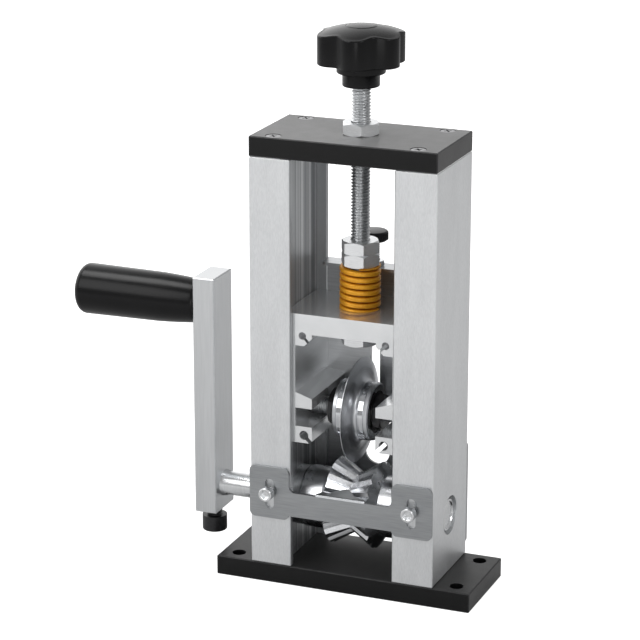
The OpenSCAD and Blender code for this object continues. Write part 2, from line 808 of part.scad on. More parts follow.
module bearing_outer_rings() {
  color(bright_steel) each_bearing() difference() {
    z_bar(bearing_d, -bearing_w / 2, bearing_w / 2);
    z_bar(2 * outer_ring_r, -bearing_w, bearing_w);
    ball_track();
  }
}

module bearing_inner_rings() {
  color(bright_steel) each_bearing() difference() {
    z_bar(2 * inner_ring_r, -bearing_w / 2, bearing_w / 2 + ring_proud);
    z_bar(axle_d + 2 * seat_gap, -bearing_w, bearing_w);
    ball_track();
  }
}

module bearing_balls() {
  color(bright_steel) each_bearing() for (k = [0 : balls - 1])
    rotate(360 * k / balls) translate([ball_track_r, 0, 0]) sphere(ball_r);
}

module bearing_seals() {
  color(black_plastic) each_bearing() for (end = [0, 1]) mirror([0, 0, end])
    difference() {
      z_bar(2 * outer_ring_r - 2 * seat_gap, bearing_w / 2 - seal_inset - seal_t, bearing_w / 2 - seal_inset);
      z_bar(2 * inner_ring_r + 2 * slide_gap, -bearing_w, bearing_w);
    }
}

module axle_spacer() {
  color(steel_grey) translate([0, 0, wheel_z]) difference() {
    x_bar(axle_d + 2 * spacer_wall, -bearing_x, bearing_x);
    x_bar(axle_d + 2 * seat_gap, -bearing_x - over, bearing_x + over);
  }
}

// The bracket's sheet is slotted from below, for the wheel's edge and for a view of it
module rear_bracket() {
  half = bracket_w / 2;
  color(sheet_grey) difference() {
    union() {
      translate([0, back_y + bracket_t, 0]) rotate([90, 0, 0]) linear_extrude(bracket_t)
        round_square([-half, bracket_low_z], [half, flange_z], sheet_r);
      box([-half, back_y, flange_z - 2 * sheet_r], [half, back_y + bracket_t, flange_z]);
      translate([0, 0, flange_z - bracket_t]) linear_extrude(bracket_t) {
        round_square([-half, back_y - bracket_reach], [half, back_y + bracket_t], sheet_r);
        translate([-half, back_y]) square([bracket_w, bracket_t]);
      }
    }
    box([-sight_w / 2, back_y - over, bracket_low_z - over],
      [sight_w / 2, back_y + bracket_t + over, sight_top_z]);
    for (x = [-top_port_x, top_port_x]) translate([x, 0, top_port_z])
      y_bar(top_port_d, back_y - over, back_y + bracket_t + over);
    translate([0, stud_y, 0]) z_bar(stud_d + 2 * run_gap, flange_z - bracket_t - over, flange_z + over);
  }
}

module rear_bracket_screws() {
  color(bright_steel) for (x = [-top_port_x, top_port_x])
    translate([x, back_y + bracket_t, top_port_z]) rotate([-90, 0, 0])
      pan_screw(top_port_d - 2 * seat_gap, bracket_head_share * top_port_d, bracket_head_h,
        bracket_screw_len);
}

module bracket_stud_nut() {
  color(bright_steel) translate([0, stud_y, flange_z])
    hex_nut(stud_nut_share * stud_d, stud_nut_h, stud_d + 2 * run_gap);
}

module bracket_thumb_screw() {
  tail = 3;
  color(black_plastic) translate([0, stud_y, flange_z + stud_nut_h + slide_gap])
    thumb_screw(stud_show - stud_nut_h - slide_gap, stud_d, stud_d, stud_nut_h + bracket_t + tail);
}

module crank_shaft() {
  color(bright_steel) translate([0, 0, shaft_z]) difference() {
    rotate([0, 90, 0]) rotate_extrude() polygon([
      [0, -arm_out_x], [crank_end_d / 2 - edge, -arm_out_x], [crank_end_d / 2, edge - arm_out_x],
      [crank_end_d / 2, -arm_in_x], [flare_d_share * crank_end_d / 2, -arm_in_x],
      [crank_end_d / 2, flare_w - arm_in_x], [crank_end_d / 2, -shaft_end_x],
      [journal_d / 2 - shaft_chamfer, -shaft_end_x], [journal_d / 2, shaft_chamfer - shaft_end_x],
      [journal_d / 2, shaft_end_x - shaft_chamfer], [journal_d / 2 - shaft_chamfer, shaft_end_x],
      [0, shaft_end_x]]);
    box([-arm_out_x + edge, -crank_end_d, -crank_end_d],
      [-arm_in_x, crank_end_d, shaft_flat - crank_end_d / 2]);
  }
}

// Wedge that cuts one notch along a flank of the V, on the +X side
module tooth_notch() {
  rim_r = rim_d / 2;
  root_r = root_d / 2;
  run_x = (vee_w - root_flat) / 2;
  rise = rim_r - root_r;
  flank = norm([run_x, rise]);
  translate([root_flat / 2, 0, root_r]) rotate([0, -atan2(rise, run_x), 0])
    translate([-over / 2, 0, 0]) rotate([90, 0, 90]) linear_extrude(flank + 2 * over)
      polygon([[0, -tooth_depth], [tooth_notch_w, tooth_depth], [-tooth_notch_w, tooth_depth]]);
}

// The roller is two toothed halves that meet at the root of the V, each with a set screw
module feed_roller() {
  rim_r = rim_d / 2;
  root_r = root_d / 2;
  hub_r = roller_hub_d / 2;
  rim_x = vee_w / 2;
  color(bright_steel) translate([0, 0, shaft_z]) for (side = [0, 1]) mirror([side, 0, 0]) difference() {
    rotate([0, 90, 0]) rotate_extrude() polygon([[0, roller_seam], [root_r, roller_seam],
      [root_r, root_flat / 2], [rim_r, rim_x], [hub_r, rim_x + cone_w],
      [hub_r, roller_end_x - edge], [hub_r - edge, roller_end_x], [0, roller_end_x]]);
    x_bar(journal_d + 2 * seat_gap, -over, roller_end_x + over);
    for (k = [0 : teeth - 1]) rotate([360 * k / teeth, 0, 0]) tooth_notch();
    translate([roller_end_x - set_screw_inset, 0, 0])
      z_bar(set_screw_d + 2 * seat_gap, -hub_r - over, 0);
  }
}

module roller_set_screws() {
  color(dark_oxide) for (x = [-1, 1]) translate([x * (roller_end_x - set_screw_inset), 0, shaft_z])
    difference() {
      z_bar(set_screw_d, set_screw_sunk - roller_hub_d / 2, -journal_d / 2 - seat_gap);
      translate([0, 0, -roller_hub_d / 2])
        cylinder(d = set_screw_d / 2, h = set_screw_sunk + socket_depth, $fn = 6);
    }
}

module crank_arm() {
  len = arm_foot + crank_r + arm_head;
  color(bright_steel) difference() {
    translate([-(arm_in_x + arm_out_x) / 2, 0, shaft_z - arm_foot + len / 2])
      block(arm_t, arm_w, len, edge);
    translate([0, 0, shaft_z]) x_bar(crank_end_d + 2 * seat_gap, -arm_out_x - over, -arm_in_x + over);
    translate([0, 0, handle_z])
      x_bar(spindle_d + 2 * seat_gap, -arm_out_x - over, -arm_in_x - spindle_floor - seat_gap);
    translate([-(arm_in_x + arm_out_x) / 2, 0, 0])
      z_bar(clamp_d + 2 * seat_gap, shaft_z - arm_foot - over, shaft_z);
  }
}

module crank_clamp_screw() {
  head_z = shaft_z - arm_foot - clamp_show - clamp_head_h;
  tip_z = shaft_z + shaft_flat - crank_end_d / 2 - seat_gap;
  round = 0.8;
  color(dark_oxide) translate([-(arm_in_x + arm_out_x) / 2, 0, 0]) difference() {
    rotate_extrude() polygon([[0, head_z], [clamp_head_d / 2 - round, head_z],
      [clamp_head_d / 2, head_z + round], [clamp_head_d / 2, head_z + clamp_head_h],
      [clamp_d / 2, head_z + clamp_head_h], [clamp_d / 2, tip_z], [0, tip_z]]);
    translate([0, 0, head_z - over])
      cylinder(d = socket_share * clamp_head_d, h = over + clamp_head_h / 2, $fn = 6);
  }
}

module handle_spindle() {
  color(bright_steel) translate([0, 0, handle_z]) mirror([1, 0, 0]) difference() {
    union() {
      x_bar(spindle_d, arm_in_x + spindle_floor + 2 * seat_gap, spindle_head_x + over);
      x_bar(spindle_head_d, spindle_head_x, spindle_head_x + spindle_head_h);
    }
    translate([spindle_head_x + spindle_head_h - socket_depth, 0, 0]) rotate([0, 90, 0])
      cylinder(d = socket_share * spindle_d, h = socket_depth + over, $fn = 6);
  }
}

// Handle: a turned grip that tapers towards the arm and ends in a rounded edge
module handle_grip() {
  neck_r = handle_neck_d / 2;
  full_r = handle_d / 2;
  rise = handle_full_share * full_r - neck_r;
  curve = [for (i = [0 : handle_steps]) let (t = i / handle_steps)
    [neck_r + rise * t * (1 + handle_soft_share * (1 - t)), handle_in_x + handle_taper_l * t]];
  cap = [for (a = [handle_round_step : handle_round_step : 90])
    [full_r - handle_round + handle_round * cos(a), handle_out_x - handle_round + handle_round * sin(a)]];
  color(black_plastic) translate([0, 0, handle_z]) mirror([1, 0, 0]) difference() {
    rotate([0, 90, 0]) rotate_extrude()
      polygon(concat([[0, handle_in_x]], curve, cap, [[0, handle_out_x]]));
    x_bar(spindle_d + 2 * run_gap, handle_in_x - over, handle_out_x + over);
    x_bar(spindle_head_d + 2 * slide_gap, spindle_head_x - slide_gap, handle_out_x + over);
  }
}

// A vertical slot with round ends, from its lower end
module slot(x, z) {
  r = slot_w / 2;
  translate([x - r, z + r]) square([slot_w, slot_l - slot_w]);
  for (end = [z + r, z + slot_l - r]) translate([x, end]) circle(r);
}

// Front plate, drawn in X and Z: two slotted tabs joined by a bar
module front_outline() {
  bar_low = front_z + bar_rise;
  difference() {
    union() {
      round_square([tab_in_x, front_z], [half_frame, front_z + tab_h], sheet_r);
      round_square([-half_frame, front_z], [-tab_in_x, front_z + tab_h], sheet_r);
      translate([-tab_in_x - sheet_r, bar_low]) square([2 * (tab_in_x + sheet_r), bar_h]);
      for (side = [0, 1]) mirror([side, 0]) translate([tab_in_x - sheet_r, front_top_z - over]) difference() {
        square([2 * sheet_r, sheet_r + over]);
        translate([0, sheet_r + over]) circle(sheet_r);
      }
    }
    for (x = [-upright_x, upright_x]) slot(x, front_z + front_slot_rise);
    translate([-tongue_w / 2, tongue_low_z]) square([tongue_w, bar_h]);
  }
}

// Distance in Y at which a level surface meets the roller, at a given radius
function roller_y(r) = sqrt(max(0, r * r - pow(tongue_low_z - shaft_z, 2)));

// The tongue reaches into the roller's V with one straight and one stepped side
module tongue_outline() {
  tip_y = -roller_y(root_d / 2) - tongue_gap;
  rim_y = -roller_y(rim_d / 2) - tongue_gap;
  mid_y = (tip_y + rim_y) / 2 - tongue_step;
  half = tongue_w / 2;
  polygon([[-half, -plate_in_y], [-step_share[0] * half, rim_y - slide_gap],
    [-step_share[1] * half, rim_y], [-step_share[2] * half, mid_y], [-step_share[3] * half, tip_y],
    [0, tip_y], [step_share[2] * half, rim_y], [half, -plate_in_y]]);
}

module front_guide_plate() {
  color(sheet_grey) {
    translate([0, -plate_in_y, 0]) rotate([90, 0, 0]) linear_extrude(sheet_t) front_outline();
    intersection() {
      translate([0, -plate_in_y, tongue_low_z]) x_bar(2 * sheet_t, -tongue_w / 2, tongue_w / 2);
      box([-tongue_w, -plate_out_y - over, tongue_low_z], [tongue_w, -plate_in_y, tongue_top_z + over]);
    }
    translate([0, 0, tongue_low_z]) linear_extrude(sheet_t) tongue_outline();
  }
}

module front_guide_screws() {
  head_y = -plate_out_y - front_shank_show;
  color(bright_steel) for (x = [-upright_x, upright_x])
    translate([x, head_y, front_screw_z]) rotate([90, 0, 0])
      cap_screw(guide_screw_d, guide_head_d, guide_head_h, guide_screw_grip - bar_w / 2 - head_y);
}

module rear_guide_plate() {
  color(black_plate) translate([0, plate_out_y, 0]) rotate([90, 0, 0]) linear_extrude(sheet_t)
    difference() {
      round_square([-half_frame, rear_z], [half_frame, rear_z + rear_h], sheet_r);
      translate([0, inlet_z]) circle(d = inlet_d);
      for (x = [-upright_x, upright_x]) slot(x, rear_slot_z);
    }
}

// A knurled thumb screw that clamps the rear plate
module rear_knob(x) {
  grip = plate_out_y + sheet_gap - bar_w / 2 + guide_screw_grip - 2 * run_gap;
  color(black_plastic) translate([x, plate_out_y + sheet_gap, rear_screw_z]) rotate([-90, 0, 0])
    thumb_screw(thumb_stem, thumb_stem_d, guide_screw_d, grip);
}

module left_rear_knob() {
  rear_knob(-upright_x);
}

module right_rear_knob() {
  rear_knob(upright_x);
}

base_plate();
left_upright();
right_upright();
base_screws();
top_plate();
top_plate_screws();
top_nut();
left_bushing();
right_bushing();
lead_screw();
star_knob();
knob_cap();
upper_lock_nut();
lower_lock_nut();
retaining_nut();
die_spring();
blade_carriage();
cutting_wheel();
blade_axle();
axle_nuts();
axle_end_screws();
bearing_outer_rings();
bearing_inner_rings();
bearing_balls();
bearing_seals();
axle_spacer();
rear_bracket();
rear_bracket_screws();
bracket_stud_nut();
bracket_thumb_screw();
crank_shaft();
feed_roller();
roller_set_screws();
crank_arm();
crank_clamp_screw();
handle_spindle();
handle_grip();
front_guide_plate();
front_guide_screws();
rear_guide_plate();
left_rear_knob();
right_rear_knob();
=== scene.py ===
from math import cos, pi, radians, sin, sqrt

import bmesh
import bpy
from mathutils import Matrix, Vector


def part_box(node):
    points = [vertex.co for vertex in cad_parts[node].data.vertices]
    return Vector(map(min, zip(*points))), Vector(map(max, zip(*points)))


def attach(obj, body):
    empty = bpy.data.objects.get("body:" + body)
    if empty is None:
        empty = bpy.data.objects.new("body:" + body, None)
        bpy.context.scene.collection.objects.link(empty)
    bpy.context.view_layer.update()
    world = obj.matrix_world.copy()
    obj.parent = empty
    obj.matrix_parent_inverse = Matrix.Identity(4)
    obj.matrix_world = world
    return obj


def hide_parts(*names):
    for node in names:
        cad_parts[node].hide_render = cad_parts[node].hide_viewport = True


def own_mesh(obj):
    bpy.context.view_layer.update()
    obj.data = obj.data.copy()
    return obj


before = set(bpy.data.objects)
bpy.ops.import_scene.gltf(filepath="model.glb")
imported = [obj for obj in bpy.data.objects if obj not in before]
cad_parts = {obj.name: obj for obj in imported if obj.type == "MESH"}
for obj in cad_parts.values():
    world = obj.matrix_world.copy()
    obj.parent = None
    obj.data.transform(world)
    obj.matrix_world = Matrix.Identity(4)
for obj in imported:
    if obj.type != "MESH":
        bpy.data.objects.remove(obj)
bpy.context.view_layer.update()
mm = 0.001

# Studio. A pale floor and white background, a large soft lamp from the front left and
# three smaller ones, and a camera to the front right of the machine, above its middle.
scene = bpy.context.scene
scene.view_settings.view_transform = "Standard"


def link(thing):
    """Put an object in the scene and return it."""
    scene.collection.objects.link(thing)
    return thing


def add(tree, kind, inputs=None, **values):
    """Add a node, set its properties and then the plain values of its inputs."""
    made = tree.nodes.new(kind)
    for name, value in values.items():
        setattr(made, name, value)
    for label, value in (inputs or {}).items():
        made.inputs[label].default_value = value
    return made


def wire(tree, *pairs):
    """Join sockets of one node tree, each pair from an output to an input."""
    for start, end in pairs:
        tree.links.new(start, end)


def calc(tree, operation, *values):
    """Add a math node whose values are numbers or output sockets, and return its output."""
    made = add(tree, "ShaderNodeMath", operation=operation)
    for socket, value in zip(made.inputs, values):
        if isinstance(value, (int, float)):
            socket.default_value = value
        else:
            tree.links.new(value, socket)
    return made.outputs[0]


camera_azimuth = radians(22.024)
camera_elevation = radians(17.297)
camera_distance = 1.2878
camera_target = Vector((-0.021006, 0.0, 0.131417))
back = Vector((sin(camera_azimuth) * cos(camera_elevation),
               -cos(camera_azimuth) * cos(camera_elevation), sin(camera_elevation)))
camera_lens = bpy.data.cameras.new("camera")
camera_lens.sensor_width = 36.0
camera_lens.lens = 148.0
camera = link(bpy.data.objects.new("camera", camera_lens))
camera.location = camera_target + back * camera_distance
camera.rotation_mode = "QUATERNION"
camera.rotation_quaternion = (-back).to_track_quat("-Z", "Y")
scene.camera = camera

# The floor looks white to the camera. Under that it carries painted shade, a grey that is
# darker near the machine and pales with distance, so that the lower parts of the machine don't catch too much
# light from it.
floor_reach = 6.0
floor_to_camera, floor_to_metal = 0.85, 0.05
floor_mesh = bpy.data.meshes.new("floor")
floor_corners = [(floor_reach * x, floor_reach * y, 0) for x, y in ((-1, -1), (1, -1), (1, 1), (-1, 1))]
floor_mesh.from_pydata(floor_corners, [], [(0, 1, 2, 3)])
floor = link(bpy.data.objects.new("floor", floor_mesh))
floor_mat = bpy.data.materials.new("floor")
floor_mat.use_nodes = True
tree = floor_mat.node_tree
tree.nodes.clear()
matt = add(tree, "ShaderNodeBsdfDiffuse")
spot = add(tree, "ShaderNodeTexCoord")
away = add(tree, "ShaderNodeVectorMath", operation="LENGTH")
floor_shade = add(tree, "ShaderNodeMapRange", {"From Min": 0.0, "From Max": 0.8, "To Min": 0.48, "To Max": 0.74},
           interpolation_type="SMOOTHSTEP")
path = add(tree, "ShaderNodeLightPath")
lift = calc(tree, "MULTIPLY_ADD", path.outputs["Is Glossy Ray"], floor_to_metal,
            calc(tree, "MULTIPLY", path.outputs["Is Camera Ray"], floor_to_camera))
glow = add(tree, "ShaderNodeEmission")
both = add(tree, "ShaderNodeAddShader")
out = add(tree, "ShaderNodeOutputMaterial")
wire(tree, (spot.outputs["Object"], away.inputs[0]), (away.outputs["Value"], floor_shade.inputs["Value"]),
     (floor_shade.outputs["Result"], matt.inputs["Color"]), (lift, glow.inputs["Strength"]),
     (matt.outputs[0], both.inputs[0]), (glow.outputs[0], both.inputs[1]),
     (both.outputs[0], out.inputs["Surface"]))
floor_mesh.materials.append(floor_mat)

# The world is white to the camera. To metal it is bright behind the machine on the left,
# where the white backdrop stands, and dimmer elsewhere.
to_backdrop = (-0.9, 0.43, 0)
world = bpy.data.worlds.new("studio")
scene.world = world
world.use_nodes = True
tree = world.node_tree
tree.nodes.clear()
where = add(tree, "ShaderNodeTexCoord")
facing = add(tree, "ShaderNodeVectorMath", {1: to_backdrop}, operation="DOT_PRODUCT")
level = add(tree, "ShaderNodeMapRange", {"From Min": 0.40, "From Max": 0.90, "To Min": 0.58, "To Max": 2.3},
            interpolation_type="SMOOTHSTEP")
path = add(tree, "ShaderNodeLightPath")
pick = add(tree, "ShaderNodeMix", data_type="FLOAT")
pick.inputs[3].default_value = 1.0
sky = add(tree, "ShaderNodeBackground")
out = add(tree, "ShaderNodeOutputWorld")
wire(tree, (where.outputs["Generated"], facing.inputs[0]), (facing.outputs["Value"], level.inputs["Value"]),
     (path.outputs["Is Camera Ray"], pick.inputs[0]), (level.outputs["Result"], pick.inputs[2]),
     (pick.outputs[0], sky.inputs["Strength"]), (sky.outputs[0], out.inputs["Surface"]))


def lamp(name, place, size, watts):
    """A soft square lamp that looks at the middle of the machine."""
    aim = Vector((0, 0, 0.12))
    light = bpy.data.lights.new(name, "AREA")
    light.size = size
    light.energy = watts
    stand = link(bpy.data.objects.new(name, light))
    stand.location = place
    stand.rotation_euler = (aim - Vector(place)).to_track_quat("-Z", "Y").to_euler()


lamp("key lamp", (-0.6, -0.85, 0.72), 0.7, 4.2)
lamp("right lamp", (0.75, -0.38, 0.62), 0.35, 2.3)
lamp("top lamp", (-0.55, -0.05, 1.2), 0.5, 5.4)
lamp("front lamp", (0.42, -1.25, 0.3), 0.45, 1.5)

# Base plate. Ground flat bar of mild steel, blackened, with four drilled mounting holes
# and four countersunk ones from below. Its finish is fine speckled black; its edges are paler, for wear and a
# painted edge highlight.


def effect(name, inputs, outputs):
    """An empty shader node group with named sockets, with its inner input and output sockets."""
    group = bpy.data.node_groups.new(name, "ShaderNodeTree")
    for label, kind, value in inputs:
        socket = group.interface.new_socket(label, in_out="INPUT", socket_type="NodeSocket" + kind)
        socket.default_value = value
    for label, kind in outputs:
        group.interface.new_socket(label, in_out="OUTPUT", socket_type="NodeSocket" + kind)
    return group, group.nodes.new("NodeGroupInput").outputs, group.nodes.new("NodeGroupOutput").inputs


def blend_colors(tree, factor, low, high):
    """Mix two colours, each a socket or three numbers, and return the result."""
    mixer = add(tree, "ShaderNodeMix", data_type="RGBA")
    tree.links.new(factor, mixer.inputs[0])
    for socket, value in ((mixer.inputs[6], low), (mixer.inputs[7], high)):
        if isinstance(value, tuple):
            socket.default_value = (*value, 1)
        else:
            tree.links.new(value, socket)
    return mixer.outputs[2]


finish_sockets = [("Vector", "Vector", (0, 0, 0)), ("Scale", "Float", 900.0),
                  ("Deep", "Color", (0.3, 0.3, 0.3, 1)), ("Pale", "Color", (0.7, 0.7, 0.7, 1)),
                  ("Smooth", "Float", 0.3), ("Rough", "Float", 0.4)]
finish_results = [("Color", "Color"), ("Roughness", "Float"), ("Height", "Float")]


def speckle(group, given, result, fine_place, cloud_scale, fine_share=0.6, cloud_share=0.4):
    """Fill a finish group: a fine pattern, laid where it is told, over broad soft clouds."""
    fine = add(group, "ShaderNodeTexNoise", {"Detail": 3.0})
    cloud = add(group, "ShaderNodeTexNoise", {"Detail": 2.0})
    spread = add(group, "ShaderNodeMapRange", {"From Min": 0.32, "From Max": 0.68})
    mixed = calc(group, "MULTIPLY_ADD", cloud.outputs[0], cloud_share,
                 calc(group, "MULTIPLY", fine.outputs[0], fine_share))
    roughness = calc(group, "MULTIPLY_ADD", cloud.outputs[0],
                     calc(group, "SUBTRACT", given["Rough"], given["Smooth"]), given["Smooth"])
    wire(group, (fine_place, fine.inputs["Vector"]), (given["Vector"], cloud.inputs["Vector"]),
         (given["Scale"], fine.inputs["Scale"]),
         (calc(group, "MULTIPLY", given["Scale"], cloud_scale), cloud.inputs["Scale"]),
         (mixed, spread.inputs["Value"]),
         (blend_colors(group, spread.outputs[0], given["Deep"], given["Pale"]), result["Color"]),
         (roughness, result["Roughness"]), (fine.outputs[0], result["Height"]))


# Grain: fine speckle over broad soft clouds, for ground, blasted, rolled and moulded faces.
grain, given, result = effect("surface grain", finish_sockets, finish_results)
speckle(grain, given, result, given["Vector"], 0.06)

# Edge wear and painted highlight: a mask along the edges of a block, from the second smallest distance to its
# faces.
edge_wear_and_highlight, given, result = effect("edge wear and highlight", [
    ("Vector", "Vector", (0, 0, 0)), ("Low", "Vector", (0, 0, 0)), ("High", "Vector", (1, 1, 1)),
    ("Width", "Float", 0.0006)], [("Mask", "Float")])
from_low = add(edge_wear_and_highlight, "ShaderNodeVectorMath", operation="SUBTRACT")
from_high = add(edge_wear_and_highlight, "ShaderNodeVectorMath", operation="SUBTRACT")
nearest = add(edge_wear_and_highlight, "ShaderNodeVectorMath", operation="MINIMUM")
gap = add(edge_wear_and_highlight, "ShaderNodeSeparateXYZ")
chips = add(edge_wear_and_highlight, "ShaderNodeTexNoise", {"Scale": 420.0})
wire(edge_wear_and_highlight, (given["Vector"], from_low.inputs[0]), (given["Low"], from_low.inputs[1]),
     (given["High"], from_high.inputs[0]), (given["Vector"], from_high.inputs[1]),
     (from_low.outputs[0], nearest.inputs[0]), (from_high.outputs[0], nearest.inputs[1]),
     (nearest.outputs[0], gap.inputs[0]), (given["Vector"], chips.inputs["Vector"]))
x_gap, y_gap, z_gap = gap.outputs
least = calc(edge_wear_and_highlight, "MINIMUM", x_gap, calc(edge_wear_and_highlight, "MINIMUM", y_gap, z_gap))
most = calc(edge_wear_and_highlight, "MAXIMUM", x_gap, calc(edge_wear_and_highlight, "MAXIMUM", y_gap, z_gap))
total = calc(edge_wear_and_highlight, "ADD", x_gap, calc(edge_wear_and_highlight, "ADD", y_gap, z_gap))
middle = calc(edge_wear_and_highlight, "SUBTRACT", calc(edge_wear_and_highlight, "SUBTRACT", total, least), most)
reach = calc(edge_wear_and_highlight, "MULTIPLY", given["Width"], calc(edge_wear_and_highlight, "ADD", chips.outputs[0], 0.5))
fade = add(edge_wear_and_highlight, "ShaderNodeMapRange", {"To Min": 1.0, "To Max": 0.0}, interpolation_type="SMOOTHSTEP")
wire(edge_wear_and_highlight, (middle, fade.inputs["Value"]), (reach, fade.inputs["From Max"]),
     (fade.outputs["Result"], result["Mask"]))


def finish(name, group, scale, deep, pale, smooth, rough, metallic=1.0, bump=0.15,
           stretch=(1, 1, 1), about=None):
    """A material whose colour, roughness and bump come from one finish group.

    The pattern can be stretched along an axis, or laid about a centre line.
    """
    mat = bpy.data.materials.new(name)
    mat.use_nodes = True
    tree = mat.node_tree
    shader = tree.nodes["Principled BSDF"]
    shader.inputs["Metallic"].default_value = metallic
    place = add(tree, "ShaderNodeTexCoord")
    lay = add(tree, "ShaderNodeMapping", {"Scale": stretch})
    settings = {"Scale": scale, "Deep": (*deep, 1), "Pale": (*pale, 1), "Smooth": smooth, "Rough": rough}
    pattern = add(tree, "ShaderNodeGroup", node_tree=group, name="pattern")
    for label, value in {**settings, **(about or {})}.items():
        pattern.inputs[label].default_value = value
    relief = add(tree, "ShaderNodeBump", {"Strength": bump, "Distance": 0.05 * mm})
    wire(tree, (place.outputs["Object"], lay.inputs["Vector"]), (lay.outputs[0], pattern.inputs["Vector"]),
         (pattern.outputs["Color"], shader.inputs["Base Color"]),
         (pattern.outputs["Roughness"], shader.inputs["Roughness"]),
         (pattern.outputs["Height"], relief.inputs["Height"]), (relief.outputs[0], shader.inputs["Normal"]))
    return mat


def wear_and_highlight_edges(mat, node, color, width, share=0.7):
    """Lighten a material along the edges of the block that a CAD node fills, for edge wear and a painted edge
    highlight.
    """
    tree = mat.node_tree
    low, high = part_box(node)
    place = add(tree, "ShaderNodeTexCoord")
    edge = add(tree, "ShaderNodeGroup", node_tree=edge_wear_and_highlight)
    for label, value in {"Low": low, "High": high, "Width": width}.items():
        edge.inputs[label].default_value = value
    mask = calc(tree, "MULTIPLY", edge.outputs[0], share)
    old = tree.nodes["pattern"].outputs["Color"]
    wire(tree, (place.outputs["Object"], edge.inputs["Vector"]),
         (blend_colors(tree, mask, old, color), tree.nodes["Principled BSDF"].inputs["Base Color"]))


def dress(mat, *nodes):
    """Give a material to every face of the named CAD nodes."""
    for node in nodes:
        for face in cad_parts[node].material_slots:
            face.material = mat


def blackened(node):
    """Dress a flat bar as blackened ground steel, with edges lightened for wear and a painted edge highlight.
    """
    mat = finish(node, grain, 2600.0, deep=(0.0008, 0.0008, 0.0009), pale=(0.003, 0.003, 0.0033),
                 smooth=0.36, rough=0.46, metallic=0.0, bump=0.25)
    shader = mat.node_tree.nodes["Principled BSDF"]
    for label, value in {"IOR": 1.35, "Sheen Weight": 1.0, "Sheen Roughness": 0.25}.items():
        shader.inputs[label].default_value = value
    wear_and_highlight_edges(mat, node, (0.06, 0.06, 0.062), 0.7 * mm)
    dress(mat, node)


blackened("base_plate")

# Uprights. Square steel bar, milled with a wide groove on the inside for the carriage and
# fine ground all over, so the faces are pale with a faint grain up and down.
# Painted shade: on the inner side of each upright, where the groove is, a dark grey is mixed in by 30 to 92
# per cent, in soft bands up and down that stand for the groove's shade and the stripes it reflects.
groove_shade, given, result = effect("painted groove shade", [
    ("Vector", "Vector", (0, 0, 0)), ("Depth", "Float", 0.0316), ("Reach", "Float", 0.0248)],
    [("Mask", "Float")])
axes = add(groove_shade, "ShaderNodeSeparateXYZ")
across = add(groove_shade, "ShaderNodeCombineXYZ")
stripe = add(groove_shade, "ShaderNodeTexNoise", {"Scale": 210.0, "Detail": 2.5})
steps = add(groove_shade, "ShaderNodeMapRange", {"From Min": 0.40, "From Max": 0.58},
            interpolation_type="SMOOTHSTEP")
from_middle, from_front, _ = axes.outputs
wire(groove_shade, (given["Vector"], axes.inputs[0]), (calc(groove_shade, "SIGN", from_middle), across.inputs[0]),
     (from_front, across.inputs[1]), (across.outputs[0], stripe.inputs["Vector"]),
     (stripe.outputs[0], steps.inputs["Value"]))
inward = calc(groove_shade, "LESS_THAN", calc(groove_shade, "ABSOLUTE", from_middle), given["Depth"])
between = calc(groove_shade, "LESS_THAN", calc(groove_shade, "ABSOLUTE", from_front), given["Reach"])
stripe_shade, least_shade = 0.62, 0.30
dark = calc(groove_shade, "MULTIPLY_ADD", steps.outputs["Result"], stripe_shade, least_shade)
wire(groove_shade, (calc(groove_shade, "MULTIPLY", calc(groove_shade, "MULTIPLY", inward, between), dark), result["Mask"]))


def cool(value):
    """The grey of bare steel, a little bluer than neutral."""
    return value, value + 0.01, value + 0.02


def paint_shade(mat, group, color):
    """Paint shade: mix a dark colour into a material where an effect group's mask says."""
    tree = mat.node_tree
    base = tree.nodes["Principled BSDF"].inputs["Base Color"]
    place = add(tree, "ShaderNodeTexCoord")
    mask = add(tree, "ShaderNodeGroup", node_tree=group)
    wire(tree, (place.outputs["Object"], mask.inputs["Vector"]),
         (blend_colors(tree, mask.outputs["Mask"], base.links[0].from_socket, color), base))


for node in ("left_upright", "right_upright"):
    ground = finish(node, grain, 2300.0, deep=cool(0.64), pale=cool(0.75), smooth=0.34, rough=0.46,
                    metallic=0.85, bump=0.2, stretch=(1, 1, 0.22))
    # Paler edges: edge wear and a painted edge highlight.
    wear_and_highlight_edges(ground, node, cool(0.85), 0.6 * mm)
    # Painted shade and painted reflection bands in the groove.
    paint_shade(ground, groove_shade, cool(0.22))
    dress(ground, node)

# Screws in the base. Countersunk socket screws of blackened steel, driven up from below
# into the ends of the uprights, so they only show from underneath.
oxide = finish("black_oxide", grain, 1800.0, deep=(0.012, 0.012, 0.013), pale=(0.03, 0.03, 0.032),
               smooth=0.28, rough=0.42, metallic=0.4, bump=0.2)
dress(oxide, "base_screws")

# Top plate. The same blackened flat bar as the base, bored for the lead screw and held
# by four countersunk cross-head screws in its corners, which lie just below its face.
blackened("top_plate")


